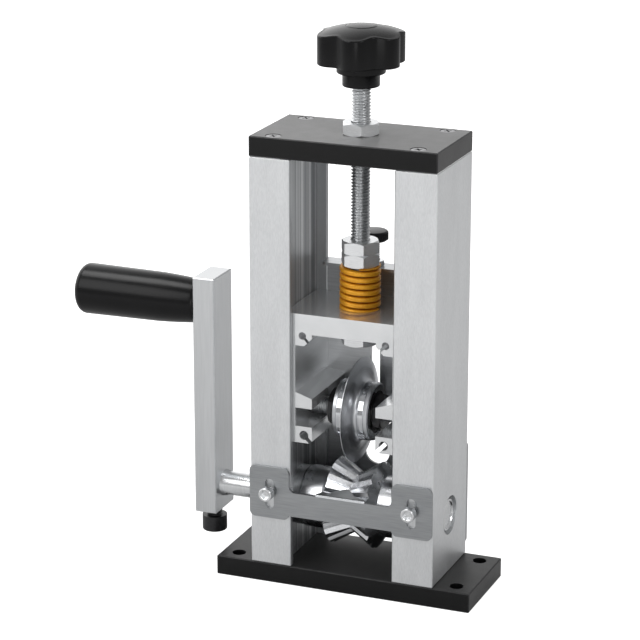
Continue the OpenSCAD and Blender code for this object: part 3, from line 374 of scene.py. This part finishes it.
def lathe(name, profile, segments=128, ripple=None):
    """Turn a closed profile of (radius, height) points about the Z axis into a mesh.

    A ripple takes a point's radius, height and angle and returns its new radius and height.
    """
    shape = bmesh.new()
    rings = []
    for radius, height in profile:
        if radius == 0:
            rings.append([shape.verts.new((0, 0, height))])
            continue
        ring = []
        for k in range(segments):
            angle = 2 * pi * k / segments
            reach, rise = ripple(radius, height, angle) if ripple else (radius, height)
            ring.append(shape.verts.new((reach * cos(angle), reach * sin(angle), rise)))
        rings.append(ring)
    closed = len(rings[0]) > 1 and len(rings[-1]) > 1
    for lower, upper in list(zip(rings, rings[1:])) + ([(rings[-1], rings[0])] if closed else []):
        for k in range(segments):
            m = (k + 1) % segments
            if len(lower) == 1:
                shape.faces.new((lower[0], upper[m], upper[k]))
            elif len(upper) == 1:
                shape.faces.new((lower[k], lower[m], upper[0]))
            else:
                shape.faces.new((lower[k], lower[m], upper[m], upper[k]))
    bmesh.ops.recalc_face_normals(shape, faces=shape.faces)
    mesh = bpy.data.meshes.new(name)
    shape.to_mesh(mesh)
    shape.free()
    mesh.shade_smooth()
    mesh.set_sharp_from_angle(angle=radians(38))
    return link(bpy.data.objects.new(name, mesh))


def spot_at(place, angle=0.0, axis="Z"):
    """The transform that turns a piece about an axis and then puts it in its place."""
    return Matrix.Translation(place) @ Matrix.Rotation(angle, 4, axis)


def settle(piece, mat, body, place=Matrix()):
    """Put a finished piece in its place, with its material, body and slot."""
    piece.data.transform(place)
    piece.data.materials.append(mat)
    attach(piece, body)
    return piece


def arc(centre, radius, start, end, steps):
    """Points of an arc in the profile plane, from one angle to another in degrees."""
    return [(centre[0] + radius * cos(radians(start + (end - start) * k / steps)),
             centre[1] + radius * sin(radians(start + (end - start) * k / steps))) for k in range(steps + 1)]


grey_zinc = finish("grey_zinc", grain, 1500.0, deep=(0.20, 0.20, 0.205), pale=(0.36, 0.36, 0.37),
                   smooth=0.26, rough=0.40, bump=0.2)
zinc = finish("bright_zinc", grain, 1500.0, deep=cool(0.66), pale=cool(0.80), smooth=0.18, rough=0.32,
              bump=0.2)
low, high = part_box("top_plate_screws")
head_r, shank_r, cross_r, cross_half = 4 * mm, 2 * mm, 1.9 * mm, 0.5 * mm


def crossed(radius, height, angle):
    """Make the rings of the recess a cross."""
    if abs(radius - cross_r) > 1e-7:
        return radius, height
    aside = (angle + pi / 4) % (pi / 2) - pi / 4
    return min(cross_r / cos(aside), cross_half / max(abs(sin(aside)), 1e-6)), height


countersunk = [(0, low[2] - high[2]), (shank_r, low[2] - high[2]), (shank_r, -2.2 * mm),
               (3.75 * mm, -0.45 * mm), (3.6 * mm, -0.2 * mm), (3.0 * mm, -0.12 * mm), (2.2 * mm, -0.12 * mm),
               (cross_r, -0.14 * mm), (cross_r, -1.5 * mm), (0, -1.9 * mm)]
for side, column in ((-1, "left"), (1, "right")):
    for end, row in ((-1, "front"), (1, "back")):
        screw = lathe(f"top_screw_{column}_{row}", countersunk, 96, crossed)
        settle(screw, grey_zinc, "frame",
               spot_at((side * (high[0] - head_r), end * (high[1] - head_r), high[2]), radians(35)))
        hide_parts("top_plate_screws")

# Nut on the top plate. A pressed hexagon nut, zinc plated, in which the lead screw runs.
# The faces of all such nuts are turned, so they carry faint rings around their thread.
turned, given, result = effect("turned rings", finish_sockets + [
    ("Centre", "Vector", (0, 0, 0)), ("Along", "Vector", (0, 0, 1))], finish_results)
aside = add(turned, "ShaderNodeVectorMath", operation="SUBTRACT")
depth = add(turned, "ShaderNodeVectorMath", operation="DOT_PRODUCT")
shaft_part = add(turned, "ShaderNodeVectorMath", operation="SCALE")
spoke = add(turned, "ShaderNodeVectorMath", operation="SUBTRACT")
reach = add(turned, "ShaderNodeVectorMath", operation="LENGTH")
track = add(turned, "ShaderNodeCombineXYZ")
wire(turned, (given["Vector"], aside.inputs[0]), (given["Centre"], aside.inputs[1]),
     (aside.outputs[0], depth.inputs[0]), (given["Along"], depth.inputs[1]),
     (given["Along"], shaft_part.inputs[0]), (depth.outputs["Value"], shaft_part.inputs["Scale"]),
     (aside.outputs[0], spoke.inputs[0]), (shaft_part.outputs[0], spoke.inputs[1]),
     (spoke.outputs[0], reach.inputs[0]), (reach.outputs["Value"], track.inputs[0]),
     (depth.outputs["Value"], track.inputs[1]))
speckle(turned, given, result, track.outputs[0], 0.05)
nut_zinc = finish("nut_zinc", turned, 2600.0, deep=cool(0.74), pale=cool(0.88), smooth=0.30, rough=0.44,
                  metallic=0.9, bump=0.25)
dress(nut_zinc, "top_nut")

# Shaft bushings. Flanged sleeves of ground steel, pressed into the uprights from the
# inside, with their flanges against the roller's hubs.
shaft_z = 39.3 * mm
about_shaft = {"Centre": (0, 0, shaft_z), "Along": (1, 0, 0)}
bushing = finish("ground_bushing", turned, 1800.0, deep=cool(0.52), pale=cool(0.68), smooth=0.24, rough=0.34,
                 bump=0.3, about=about_shaft)
dress(bushing, "left_bushing", "right_bushing")

# Crank shaft. Turned and polished steel, stepped down to 12 mm for the crank, with its
# bare end lying a little inside the right upright.
polished = finish("polished_shaft", turned, 2200.0, deep=cool(0.62), pale=cool(0.78), smooth=0.18, rough=0.28,
                  bump=0.12, about=about_shaft)
shaft = lathe("shaft_turned", [(r * mm, x * mm) for r, x in (
    (0, -84.6), (5.7, -84.6), (6, -84.3), (6, -73), (6.78, -73), (6, -69), (6, -47.1), (8.3, -47.1),
    (9.5, -45.9), (9.5, 44.9), (8.6, 45.1), (7.9, 46.8), (6.9, 46.9), (6.4, 46.2), (0, 46.2))], 96)
settle(shaft, polished, "crank", spot_at((0, 0, shaft_z), pi / 2, "Y"))
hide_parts("crank_shaft")

# Feed roller. Two hardened halves that form a V, ground bright, with notched teeth that
# grip the cable. Each is held on the shaft by a blackened set screw.
roller = finish("ground_roller", turned, 2400.0, deep=(0.66, 0.67, 0.69), pale=(0.82, 0.83, 0.85),
                smooth=0.20, rough=0.32, bump=0.2, about=about_shaft)
dress(roller, "feed_roller")
dress(oxide, "roller_set_screws")

# Crank arm. A square steel bar, brushed lengthwise, drilled for the shaft and tapped from
# below for the screw that clamps it.
arm_steel = finish("crank_arm", grain, 1500.0, deep=cool(0.57), pale=cool(0.64), smooth=0.30, rough=0.42,
                   bump=0.25, stretch=(1, 1, 0.04))
# Paler edges: edge wear and a painted edge highlight.
wear_and_highlight_edges(arm_steel, "crank_arm", cool(0.86), 0.5 * mm)
dress(arm_steel, "crank_arm")

# Clamp screw. A blackened socket head screw, whose thread shows between its head and the
# arm. The thread is a rod whose surface rises and falls once for each turn.


def start_tree(name, inputs):
    """An empty Geometry Nodes tree with named inputs, and its inner input sockets."""
    tree = bpy.data.node_groups.new(name, "GeometryNodeTree")
    for label, kind, value in inputs:
        socket = tree.interface.new_socket(label, in_out="INPUT", socket_type="NodeSocket" + kind)
        socket.default_value = value
    tree.interface.new_socket("Finish", in_out="INPUT", socket_type="NodeSocketMaterial")
    tree.interface.new_socket("Geometry", in_out="OUTPUT", socket_type="NodeSocketGeometry")
    return tree, tree.nodes.new("NodeGroupInput").outputs


def end_tree(tree, given, shape):
    """End a tree: make its instances real, set its finish and hand the shape out."""
    real = add(tree, "GeometryNodeRealizeInstances")
    coat = add(tree, "GeometryNodeSetMaterial")
    done = tree.nodes.new("NodeGroupOutput")
    wire(tree, (shape, real.inputs[0]), (real.outputs[0], coat.inputs[0]),
         (given["Finish"], coat.inputs["Material"]), (coat.outputs[0], done.inputs[0]))


threader, given = start_tree("thread", [
    ("Radius", "Float", 0.004), ("Length", "Float", 0.01), ("Pitch", "Float", 0.001),
    ("Depth", "Float", 0.0006), ("Around", "Int", 40), ("Rings", "Int", 60)])
rod = add(threader, "GeometryNodeMeshCylinder", fill_type="NGON")
point = add(threader, "GeometryNodeInputPosition")
split = add(threader, "ShaderNodeSeparateXYZ")
wire(threader, (given["Around"], rod.inputs["Vertices"]), (given["Rings"], rod.inputs["Side Segments"]),
     (given["Radius"], rod.inputs["Radius"]), (given["Length"], rod.inputs["Depth"]),
     (point.outputs[0], split.inputs[0]))
x, y, z = split.outputs
turn_share = calc(threader, "DIVIDE", calc(threader, "ARCTAN2", y, x), 2 * pi)
pitches = calc(threader, "DIVIDE", z, given["Pitch"])
phase = calc(threader, "FRACT", calc(threader, "SUBTRACT", pitches, turn_share))
from_root = calc(threader, "ABSOLUTE", calc(threader, "SUBTRACT", phase, 0.5))
flank = calc(threader, "MINIMUM", calc(threader, "MULTIPLY", from_root, 2.3), 1.0)
dip = calc(threader, "MULTIPLY", calc(threader, "MULTIPLY", flank, given["Depth"]), -1.0)
inward = calc(threader, "DIVIDE", dip, given["Radius"])
shift = add(threader, "ShaderNodeCombineXYZ")
moved = add(threader, "GeometryNodeSetPosition")
soft = add(threader, "GeometryNodeSetShadeSmooth")
wire(threader, (calc(threader, "MULTIPLY", x, inward), shift.inputs[0]),
     (calc(threader, "MULTIPLY", y, inward), shift.inputs[1]),
     (rod.outputs["Mesh"], moved.inputs["Geometry"]), (shift.outputs[0], moved.inputs["Offset"]),
     (moved.outputs[0], soft.inputs[0]))
end_tree(threader, given, soft.outputs[0])


def grow(name, tree, values, place=Matrix()):
    """Run a Geometry Nodes tree with these input values and keep its result as a plain mesh."""
    seed = link(bpy.data.objects.new(name + "_seed", bpy.data.meshes.new(name + "_seed")))
    maker = seed.modifiers.new("maker", "NODES")
    maker.node_group = tree
    for item in tree.interface.items_tree:
        if item.item_type == "SOCKET" and item.in_out == "INPUT" and item.name in values:
            maker[item.identifier] = values[item.name]
    bpy.context.view_layer.update()
    mesh = bpy.data.meshes.new_from_object(seed.evaluated_get(bpy.context.evaluated_depsgraph_get()))
    mesh.name = name
    mesh.transform(place)
    seed.modifiers.remove(maker)
    bpy.data.objects.remove(seed)
    return link(bpy.data.objects.new(name, mesh))


def turn_towards(place, direction):
    """The transform that points a piece's Z axis in a direction and then puts it in its place."""
    return Matrix.Translation(place) @ Vector(direction).to_track_quat("Z", "Y").to_matrix().to_4x4()


def threaded_rod(name, body, start, end, diameter, pitch, mat, around=40):
    """A threaded rod between two points, riding on a body."""
    start, end = Vector(start), Vector(end)
    length = (end - start).length
    depth, rings_per_turn = 0.62 * pitch, 8
    rod = grow(name, threader, {"Radius": diameter / 2, "Length": length, "Pitch": pitch, "Depth": depth,
                                "Around": around, "Rings": int(length / pitch * rings_per_turn),
                                "Finish": mat}, turn_towards((start + end) / 2, end - start))
    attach(rod, body)
    return rod


def socket_head(name, diameter, height, rim):
    """The head of a socket screw, seat on z = 0: a soft rim around a hexagon socket."""
    head_r, socket_r = diameter / 2, 0.325 * diameter

    def sided(radius, rise, angle):
        """Make the ring of the socket a hexagon."""
        in_socket = abs(radius - socket_r) < 1e-7
        return radius * (cos(pi / 6) / cos(angle % (pi / 3) - pi / 6) if in_socket else 1), rise

    return lathe(name, [(0, 0), (head_r, 0)] + arc((head_r - rim, height - rim), rim, 0, 90, 5) + [
        (1.1 * socket_r, height), (socket_r, height - 0.05 * diameter), (socket_r, height / 2),
        (0, height / 2)], 96, sided)


low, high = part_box("crank_clamp_screw")
arm_x = (low[0] + high[0]) / 2
clamp_h, clamp_rim, clamp_d, clamp_pitch = 8 * mm, 0.8 * mm, 8 * mm, 1.25 * mm
seat_z = low[2] + clamp_h
head = settle(socket_head("clamp_head", high[0] - low[0], clamp_h, clamp_rim), oxide, "crank",
              spot_at((arm_x, 0, seat_z), pi, "X"))
shank = threaded_rod("clamp_thread", "crank", (arm_x, 0, seat_z), (arm_x, 0, high[2]),
                     clamp_d, clamp_pitch, oxide)
for piece in (head, shank):
    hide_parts("crank_clamp_screw")

# Handle. A turned black plastic grip that spins on a bright shoulder bolt, whose head
# lies in a recess at the outer end.
handle_low, handle_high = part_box("handle_grip")
handle_z = (handle_low[2] + handle_high[2]) / 2
grip_l = handle_high[0] - handle_low[0]
grip_r = (handle_high[2] - handle_low[2]) / 2
neck_r, neck_edge, taper, belly = 10.75 * mm, 0.5 * mm, 22 * mm, 0.965 * grip_r
bore_r, pocket_r, pocket, crown_r = 4.05 * mm, 6.8 * mm, 5.9 * mm, 4 * mm
waist = [(neck_r + (belly - neck_r) * (t * (1.5 - 0.5 * t)), taper * t) for t in [k / 12 for k in range(13)]]
waist[0] = (neck_r, neck_edge)
crown = arc((grip_r - crown_r, grip_l - crown_r), crown_r, 0, 90, 10)
moulded = finish("moulded_black", grain, 1400.0, deep=(0.002, 0.002, 0.0022), pale=(0.005, 0.005, 0.0055),
                 smooth=0.22, rough=0.30, metallic=0.0, bump=0.12)
moulded.node_tree.nodes["Principled BSDF"].inputs["IOR"].default_value = 1.28
grip = lathe("handle_turned", [(bore_r, 0), (neck_r - neck_edge, 0)] + waist + crown +
             [(pocket_r, grip_l), (pocket_r, grip_l - pocket), (bore_r, grip_l - pocket)], 160)
settle(grip, moulded, "handle", spot_at((handle_high[0], 0, handle_z), -pi / 2, "Y"))
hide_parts("handle_grip")
bolt_steel = finish("shoulder_bolt", turned, 2400.0, deep=cool(0.62), pale=cool(0.78),
                    smooth=0.18, rough=0.28, bump=0.2, about={"Centre": (0, 0, handle_z), "Along": (1, 0, 0)})
dress(bolt_steel, "handle_spindle")

# Carriage. An aluminium profile with screw channels in its corners, extruded front to
# back and sawn to length, so its inner faces carry fine lines and its ends are matt.
extruded = finish("extruded_aluminium", grain, 1700.0, deep=cool(0.68), pale=cool(0.80),
                  smooth=0.16, rough=0.26, metallic=0.82, bump=0.25, stretch=(1, 0.03, 1))
# Paler edges: edge wear and a painted edge highlight.
wear_and_highlight_edges(extruded, "blade_carriage", cool(0.86), 0.5 * mm)
dress(extruded, "blade_carriage")

# Axle of the cutting wheel. A threaded rod across the carriage, with two dark nuts that
# hold the bearings' inner rings and a countersunk screw in each end.
wheel_z = 87.9 * mm
axle_d, axle_pitch = 9 * mm, 1.25 * mm
about_axle = {"Centre": (0, 0, wheel_z), "Along": (1, 0, 0)}
rolled = finish("rolled_thread", grain, 1600.0, deep=cool(0.46), pale=cool(0.62), smooth=0.28, rough=0.38,
                bump=0.1)
low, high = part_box("blade_axle")
axle = threaded_rod("axle_rod", "carriage", (low[0], 0, wheel_z), (high[0], 0, wheel_z),
                    axle_d, axle_pitch, rolled)
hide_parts("blade_axle")
dark_nut = finish("dark_nut", turned, 2000.0, deep=(0.012, 0.012, 0.013), pale=(0.035, 0.035, 0.037),
                  smooth=0.24, rough=0.36, metallic=0.4, bump=0.2, about=about_axle)
dress(dark_nut, "axle_nuts")
dress(oxide, "axle_end_screws")

# Ball bearings of the wheel. Two sealed ones: ground rings, seven balls each and black
# rubber seals, with a steel sleeve between them on the axle.
ring_steel = finish("ring_steel", turned, 3000.0, deep=cool(0.62), pale=cool(0.76), smooth=0.10, rough=0.20,
                    bump=0.12, about=about_axle)
dress(ring_steel, "bearing_outer_rings", "bearing_inner_rings", "bearing_balls", "axle_spacer")
rubber = finish("seal_rubber", turned, 1200.0, deep=(0.008, 0.008, 0.008), pale=(0.018, 0.018, 0.018),
                smooth=0.45, rough=0.60, metallic=0.0, bump=0.3, about=about_axle)
dress(rubber, "bearing_seals")

# Cutting wheel. Hardened steel, turned in one piece with its hub: a ground disc with a
# bevelled edge, hollow flanks, and a polished band and a ring at each end of the hub.
disc_r, edge_half, web_half, bevel_r = 26.15 * mm, 0.15 * mm, 0.85 * mm, 21.7 * mm
hub_r, hub_half, band_x, ring_x = 14.6 * mm, 9.35 * mm, 3.5 * mm, 7.0 * mm
web_r, stop_r, stop_half = 11.6 * mm, 13.02 * mm, 1.3 * mm
hollow_r, waist_r = bevel_r - 0.8 * mm, hub_r - 0.12 * mm
half = [(web_r, stop_half), (stop_r, stop_half), (stop_r, hub_half), (hub_r - 0.9 * mm, hub_half),
        (hub_r - 0.3 * mm, hub_half - 0.5 * mm), (hub_r - 0.05 * mm, ring_x + 0.3 * mm),
        (hub_r - 0.25 * mm, ring_x), (hub_r, ring_x - 0.15 * mm), (hub_r, band_x + 0.12 * mm)]
for angle in [radians(7.5 * k) for k in range(13)]:
    half.append((hollow_r - (hollow_r - waist_r) * cos(angle), band_x - (band_x - web_half) * sin(angle)))
half += [(bevel_r, web_half), (disc_r, edge_half)]
wheel = lathe("wheel_turned", half + [(r, -h) for r, h in reversed(half)], 192)
ground_relief, band_relief, band_rough = 0.9, 0.05, 0.05
wheel_steel = finish("wheel_steel", turned, 2600.0, deep=(0.48, 0.49, 0.51), pale=(0.64, 0.65, 0.67),
                     smooth=0.26, rough=0.36, bump=ground_relief, about=about_axle)
tree = wheel_steel.node_tree
place = add(tree, "ShaderNodeTexCoord")
axes = add(tree, "ShaderNodeSeparateXYZ")
from_disc = calc(tree, "ABSOLUTE", axes.outputs[0])
band = calc(tree, "MULTIPLY", calc(tree, "GREATER_THAN", from_disc, band_x),
            calc(tree, "LESS_THAN", from_disc, ring_x))
polish = add(tree, "ShaderNodeMix", data_type="FLOAT")
polish.inputs[3].default_value = band_rough
wire(tree, (place.outputs["Object"], axes.inputs[0]), (band, polish.inputs[0]),
     (tree.nodes["pattern"].outputs["Roughness"], polish.inputs[2]),
     (polish.outputs[0], tree.nodes["Principled BSDF"].inputs["Roughness"]),
     (calc(tree, "MULTIPLY_ADD", band, band_relief - ground_relief, ground_relief),
      tree.nodes["Bump"].inputs["Strength"]))
settle(wheel, wheel_steel, "wheel", spot_at((0, 0, wheel_z), pi / 2, "Y"))
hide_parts("cutting_wheel")

# Lead screw. A bright threaded rod with a coarse thread, which carries the knob at its
# top and the lock nuts and the retaining nut around the carriage's bar.
lead_pitch = 1.6 * mm
low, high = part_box("lead_screw")
screw = threaded_rod("lead_screw_thread", "screw", (0, 0, low[2]), (0, 0, high[2]),
                     high[0] - low[0], lead_pitch, rolled, around=48)
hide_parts("lead_screw")
dress(nut_zinc, "upper_lock_nut", "lower_lock_nut", "retaining_nut")

# Die spring. Flat spring wire, wound in seven curls and passivated gold. Its two ends are
# ground flat, so that it stands square between the carriage and the lock nut.
ground_off = 0.7 * mm
coiler, given = start_tree("die spring", [
    ("Radius", "Float", 0.0083), ("Height", "Float", 0.0216), ("Curls", "Float", 7.2),
    ("Ground", "Float", ground_off), ("Wire Width", "Float", 0.0036), ("Wire Height", "Float", 0.0024)])
helix = add(coiler, "GeometryNodeCurveSpiral", {"Resolution": 48})
section = add(coiler, "GeometryNodeCurvePrimitiveQuadrilateral", mode="RECTANGLE")
softened = add(coiler, "GeometryNodeFilletCurve", {"Count": 4, "Radius": 0.75 * mm}, mode="POLY")
upright_turn = add(coiler, "GeometryNodeSetCurveNormal", mode="Z_UP")
swept = add(coiler, "GeometryNodeCurveToMesh", {"Fill Caps": True})
point = add(coiler, "GeometryNodeInputPosition")
split = add(coiler, "ShaderNodeSeparateXYZ")
flat = add(coiler, "ShaderNodeCombineXYZ")
trimmed = add(coiler, "GeometryNodeSetPosition")
soft = add(coiler, "GeometryNodeSetShadeSmooth")
x, y, z = split.outputs
wound = calc(coiler, "MULTIPLY_ADD", given["Ground"], 2.0, given["Height"])
upper_face = calc(coiler, "ADD", given["Height"], given["Ground"])
rise = calc(coiler, "MINIMUM", calc(coiler, "MAXIMUM", z, given["Ground"]), upper_face)
wire(coiler, (given["Curls"], helix.inputs["Rotations"]), (wound, helix.inputs["Height"]),
     (given["Radius"], helix.inputs["Start Radius"]), (given["Radius"], helix.inputs["End Radius"]),
     (given["Wire Width"], section.inputs["Width"]), (given["Wire Height"], section.inputs["Height"]),
     (section.outputs[0], softened.inputs["Curve"]), (helix.outputs[0], upright_turn.inputs["Curve"]),
     (upright_turn.outputs[0], swept.inputs["Curve"]), (softened.outputs[0], swept.inputs["Profile Curve"]),
     (point.outputs[0], split.inputs[0]), (x, flat.inputs[0]), (y, flat.inputs[1]), (rise, flat.inputs[2]),
     (swept.outputs[0], trimmed.inputs["Geometry"]), (flat.outputs[0], trimmed.inputs["Position"]),
     (trimmed.outputs[0], soft.inputs[0]))
end_tree(coiler, given, soft.outputs[0])
gold = finish("spring_yellow", grain, 1300.0, deep=(0.66, 0.27, 0.008), pale=(0.88, 0.42, 0.02),
              smooth=0.28, rough=0.42, metallic=0.35, bump=0.15)
low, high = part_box("die_spring")
spring = grow("spring_coil", coiler, {"Height": high[2] - low[2], "Finish": gold},
              spot_at((0, 0, low[2] - ground_off)))
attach(spring, "spring_seat")
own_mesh(spring)
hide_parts("die_spring")

# Star knob. Moulded black plastic with six lobes, a domed top with a flush cap and two
# stepped collars underneath, tight on the lead screw.
crest, valley_share, lobes, knob_turn = 21.5 * mm, 0.84, 6, radians(-20)
foot_z, mid_z, head_z, brim_z, top_z = [z * mm for z in (250.1, 256.4, 261.0, 274.9, 279.3)]
foot_r, foot_edge, flare_r = 9.0 * mm, 0.5 * mm, 9.3 * mm
collar_r, collar_edge, lip, lobe_fade = 11.75 * mm, 0.6 * mm, 0.7 * mm, 6 * mm
cap_r, cap_z, cap_gap, cap_sunk = 7.5 * mm, top_z - 3 * mm, 0.02 * mm, 0.12 * mm
dome_r = (crest ** 2 + (top_z - brim_z) ** 2) / (2 * (top_z - brim_z))


def dome_height(radius):
    """Height of the dome's surface at a radius."""
    return top_z - dome_r + sqrt(dome_r ** 2 - radius ** 2)


def lobed(radius, height, angle):
    """The head's lobed outline; its upper edge follows the dome down each lobe."""
    if height < head_z - 0.01 * mm or radius < cap_r + 0.2 * mm:
        return radius, height
    dip = ((1 - cos(lobes * (angle - knob_turn))) / 2) ** 1.4
    reach = radius * (1 - (1 - valley_share) * dip * min(1, (radius - cap_r) / lobe_fade))
    drop = dome_height(reach) - dome_height(radius) if height > (head_z + brim_z) / 2 else 0
    return reach, height + drop


outline = [(0, foot_z)] + arc((foot_r - foot_edge, foot_z + foot_edge), foot_edge, -90, 0, 3)
outline += [(foot_r, mid_z - 0.4 * mm), (flare_r, mid_z)]
outline += arc((collar_r - collar_edge, mid_z + collar_edge), collar_edge, -90, 0, 3)
outline += [(collar_r, head_z - 0.02 * mm), (collar_r, head_z)]
outline += arc((crest - lip, head_z + lip), lip, -90, 0, 5)
outline += arc((crest - lip, brim_z - 0.25 * mm), lip, 0, 70, 5)
outline += [(r, dome_height(r)) for r in [crest * k / 16 for k in range(15, 6, -1)] + [cap_r + 0.15 * mm]]
outline += [(cap_r + cap_gap, dome_height(cap_r) - cap_sunk), (cap_r + cap_gap, cap_z), (0, cap_z)]
knob = lathe("star_knob_moulded", outline, 240, lobed)
settle(knob, moulded, "screw")
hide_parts("star_knob")
cap = lathe("knob_cap_moulded", [(0, cap_z), (cap_r, cap_z), (cap_r, dome_height(cap_r) - cap_sunk)] + [
    (r * mm, dome_height(r * mm)) for r in (7.35, 6, 4, 2, 0)], 96)
settle(cap, moulded, "screw")
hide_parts("knob_cap")

# Rear bracket. Sheet steel, bent over at the top and slotted from below for the wheel's
# edge. Two long bright screws hold it in the carriage's upper channels.
bracket_sheet = finish("grey_sheet", grain, 1500.0, deep=cool(0.48), pale=cool(0.60), smooth=0.30, rough=0.42,
                       bump=0.25, stretch=(0.06, 1, 1))
dress(bracket_sheet, "rear_bracket")
dress(zinc, "bracket_stud_nut")
dress(grey_zinc, "rear_bracket_screws")

# Knurled screw on the bracket. Blackened steel with a straight knurl, upright over the
# flange, with a small bright nut under it.
knurler, given = start_tree("knurl", [
    ("Radius", "Float", 0.007), ("Height", "Float", 0.004), ("Ridge", "Float", 0.0004), ("Count", "Int", 44)])
ring = add(knurler, "GeometryNodeCurvePrimitiveCircle")
ridge = add(knurler, "GeometryNodeMeshCylinder", {"Vertices": 6}, fill_type="NGON")
set_round = add(knurler, "GeometryNodeInstanceOnPoints")
wire(knurler, (given["Count"], ring.inputs["Resolution"]), (given["Radius"], ring.inputs["Radius"]),
     (given["Ridge"], ridge.inputs["Radius"]), (given["Height"], ridge.inputs["Depth"]),
     (ring.outputs[0], set_round.inputs["Points"]), (ridge.outputs["Mesh"], set_round.inputs["Instance"]))
end_tree(knurler, given, set_round.outputs[0])
knurled = finish("black_knurled", grain, 1400.0, deep=(0.010, 0.010, 0.011), pale=(0.024, 0.024, 0.026),
                 smooth=0.28, rough=0.42, metallic=0.3, bump=0.2)
knurl_r, knurl_h, knurl_sunk, thumb_h = 7 * mm, 3.6 * mm, 0.25 * mm, 5 * mm


def knurl(name, body, centre, along):
    """A ring of straight ridges around the head of a thumb screw."""
    ridges = grow(name, knurler, {"Radius": knurl_r - knurl_sunk, "Height": knurl_h, "Finish": knurled},
                  turn_towards(centre, along))
    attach(ridges, body)


low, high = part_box("bracket_thumb_screw")
stud = ((low[0] + high[0]) / 2, (low[1] + high[1]) / 2)
stud_d, stud_pitch, rim = 6 * mm, 1.0 * mm, 0.6 * mm
thumb_r, thumb_z = knurl_r - knurl_sunk, high[2] - thumb_h
head = lathe("thumb_head", [(0, 0), (thumb_r - rim, 0), (thumb_r, rim)] +
             arc((thumb_r - rim, thumb_h - rim), rim, 0, 90, 4) + [(0, thumb_h)], 96)
settle(head, knurled, "bracket_screw", spot_at((*stud, thumb_z)))
shank = threaded_rod("bracket_thread", "bracket_screw", (*stud, low[2]), (*stud, thumb_z),
                     stud_d, stud_pitch, knurled)
for piece in (head, shank):
    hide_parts("bracket_thumb_screw")
knurl("bracket_knurl", "bracket_screw", (*stud, high[2] - thumb_h / 2), (0, 0, 1))

# Front guide plate. Sheet steel with two slotted tabs and a bar whose tongue is bent in
# over the roller, brushed along its length. Two socket head screws hold it.
front_sheet = finish("front_sheet", grain, 1500.0, deep=cool(0.30), pale=cool(0.40), smooth=0.30, rough=0.42,
                     bump=0.25, stretch=(0.06, 1, 1))
dress(front_sheet, "front_guide_plate")
guide_z, guide_d, guide_pitch = 48.9 * mm, 4 * mm, 0.7 * mm
head_d, head_h, rim = 7 * mm, 4 * mm, 0.5 * mm
low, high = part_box("front_guide_screws")
seat_y = low[1] + head_h
for side, name in ((-1, "left"), (1, "right")):
    guide_x = side * (high[0] - head_d / 2)
    head = settle(socket_head(f"{name}_guide_head", head_d, head_h, rim), zinc, "frame",
                  spot_at((guide_x, seat_y, guide_z), pi / 2, "X"))
    shank = threaded_rod(f"{name}_guide_thread", "frame", (guide_x, seat_y, guide_z),
                         (guide_x, high[1], guide_z), guide_d, guide_pitch, zinc)
    for piece in (head, shank):
        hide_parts("front_guide_screws")

# Rear guide plate and its knobs. Brushed sheet steel with a round cable inlet, clamped by
# two knurled screws so that it slides up and down with the cable's size.
rear_sheet = finish("rear_sheet", grain, 1500.0, deep=cool(0.34), pale=cool(0.44), smooth=0.30, rough=0.42,
                    metallic=0.85, bump=0.25, stretch=(0.06, 1, 1))
# Paler edges: edge wear and a painted edge highlight.
wear_and_highlight_edges(rear_sheet, "rear_guide_plate", cool(0.60), 0.4 * mm)
dress(rear_sheet, "rear_guide_plate")
for name in ("left", "right"):
    dress(knurled, f"{name}_rear_knob")
    low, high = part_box(f"{name}_rear_knob")
    middle = ((low[0] + high[0]) / 2, high[1] - thumb_h / 2, (low[2] + high[2]) / 2)
    knurl(f"{name}_rear_knurl", f"{name}_knob", middle, (0, 1, 0))
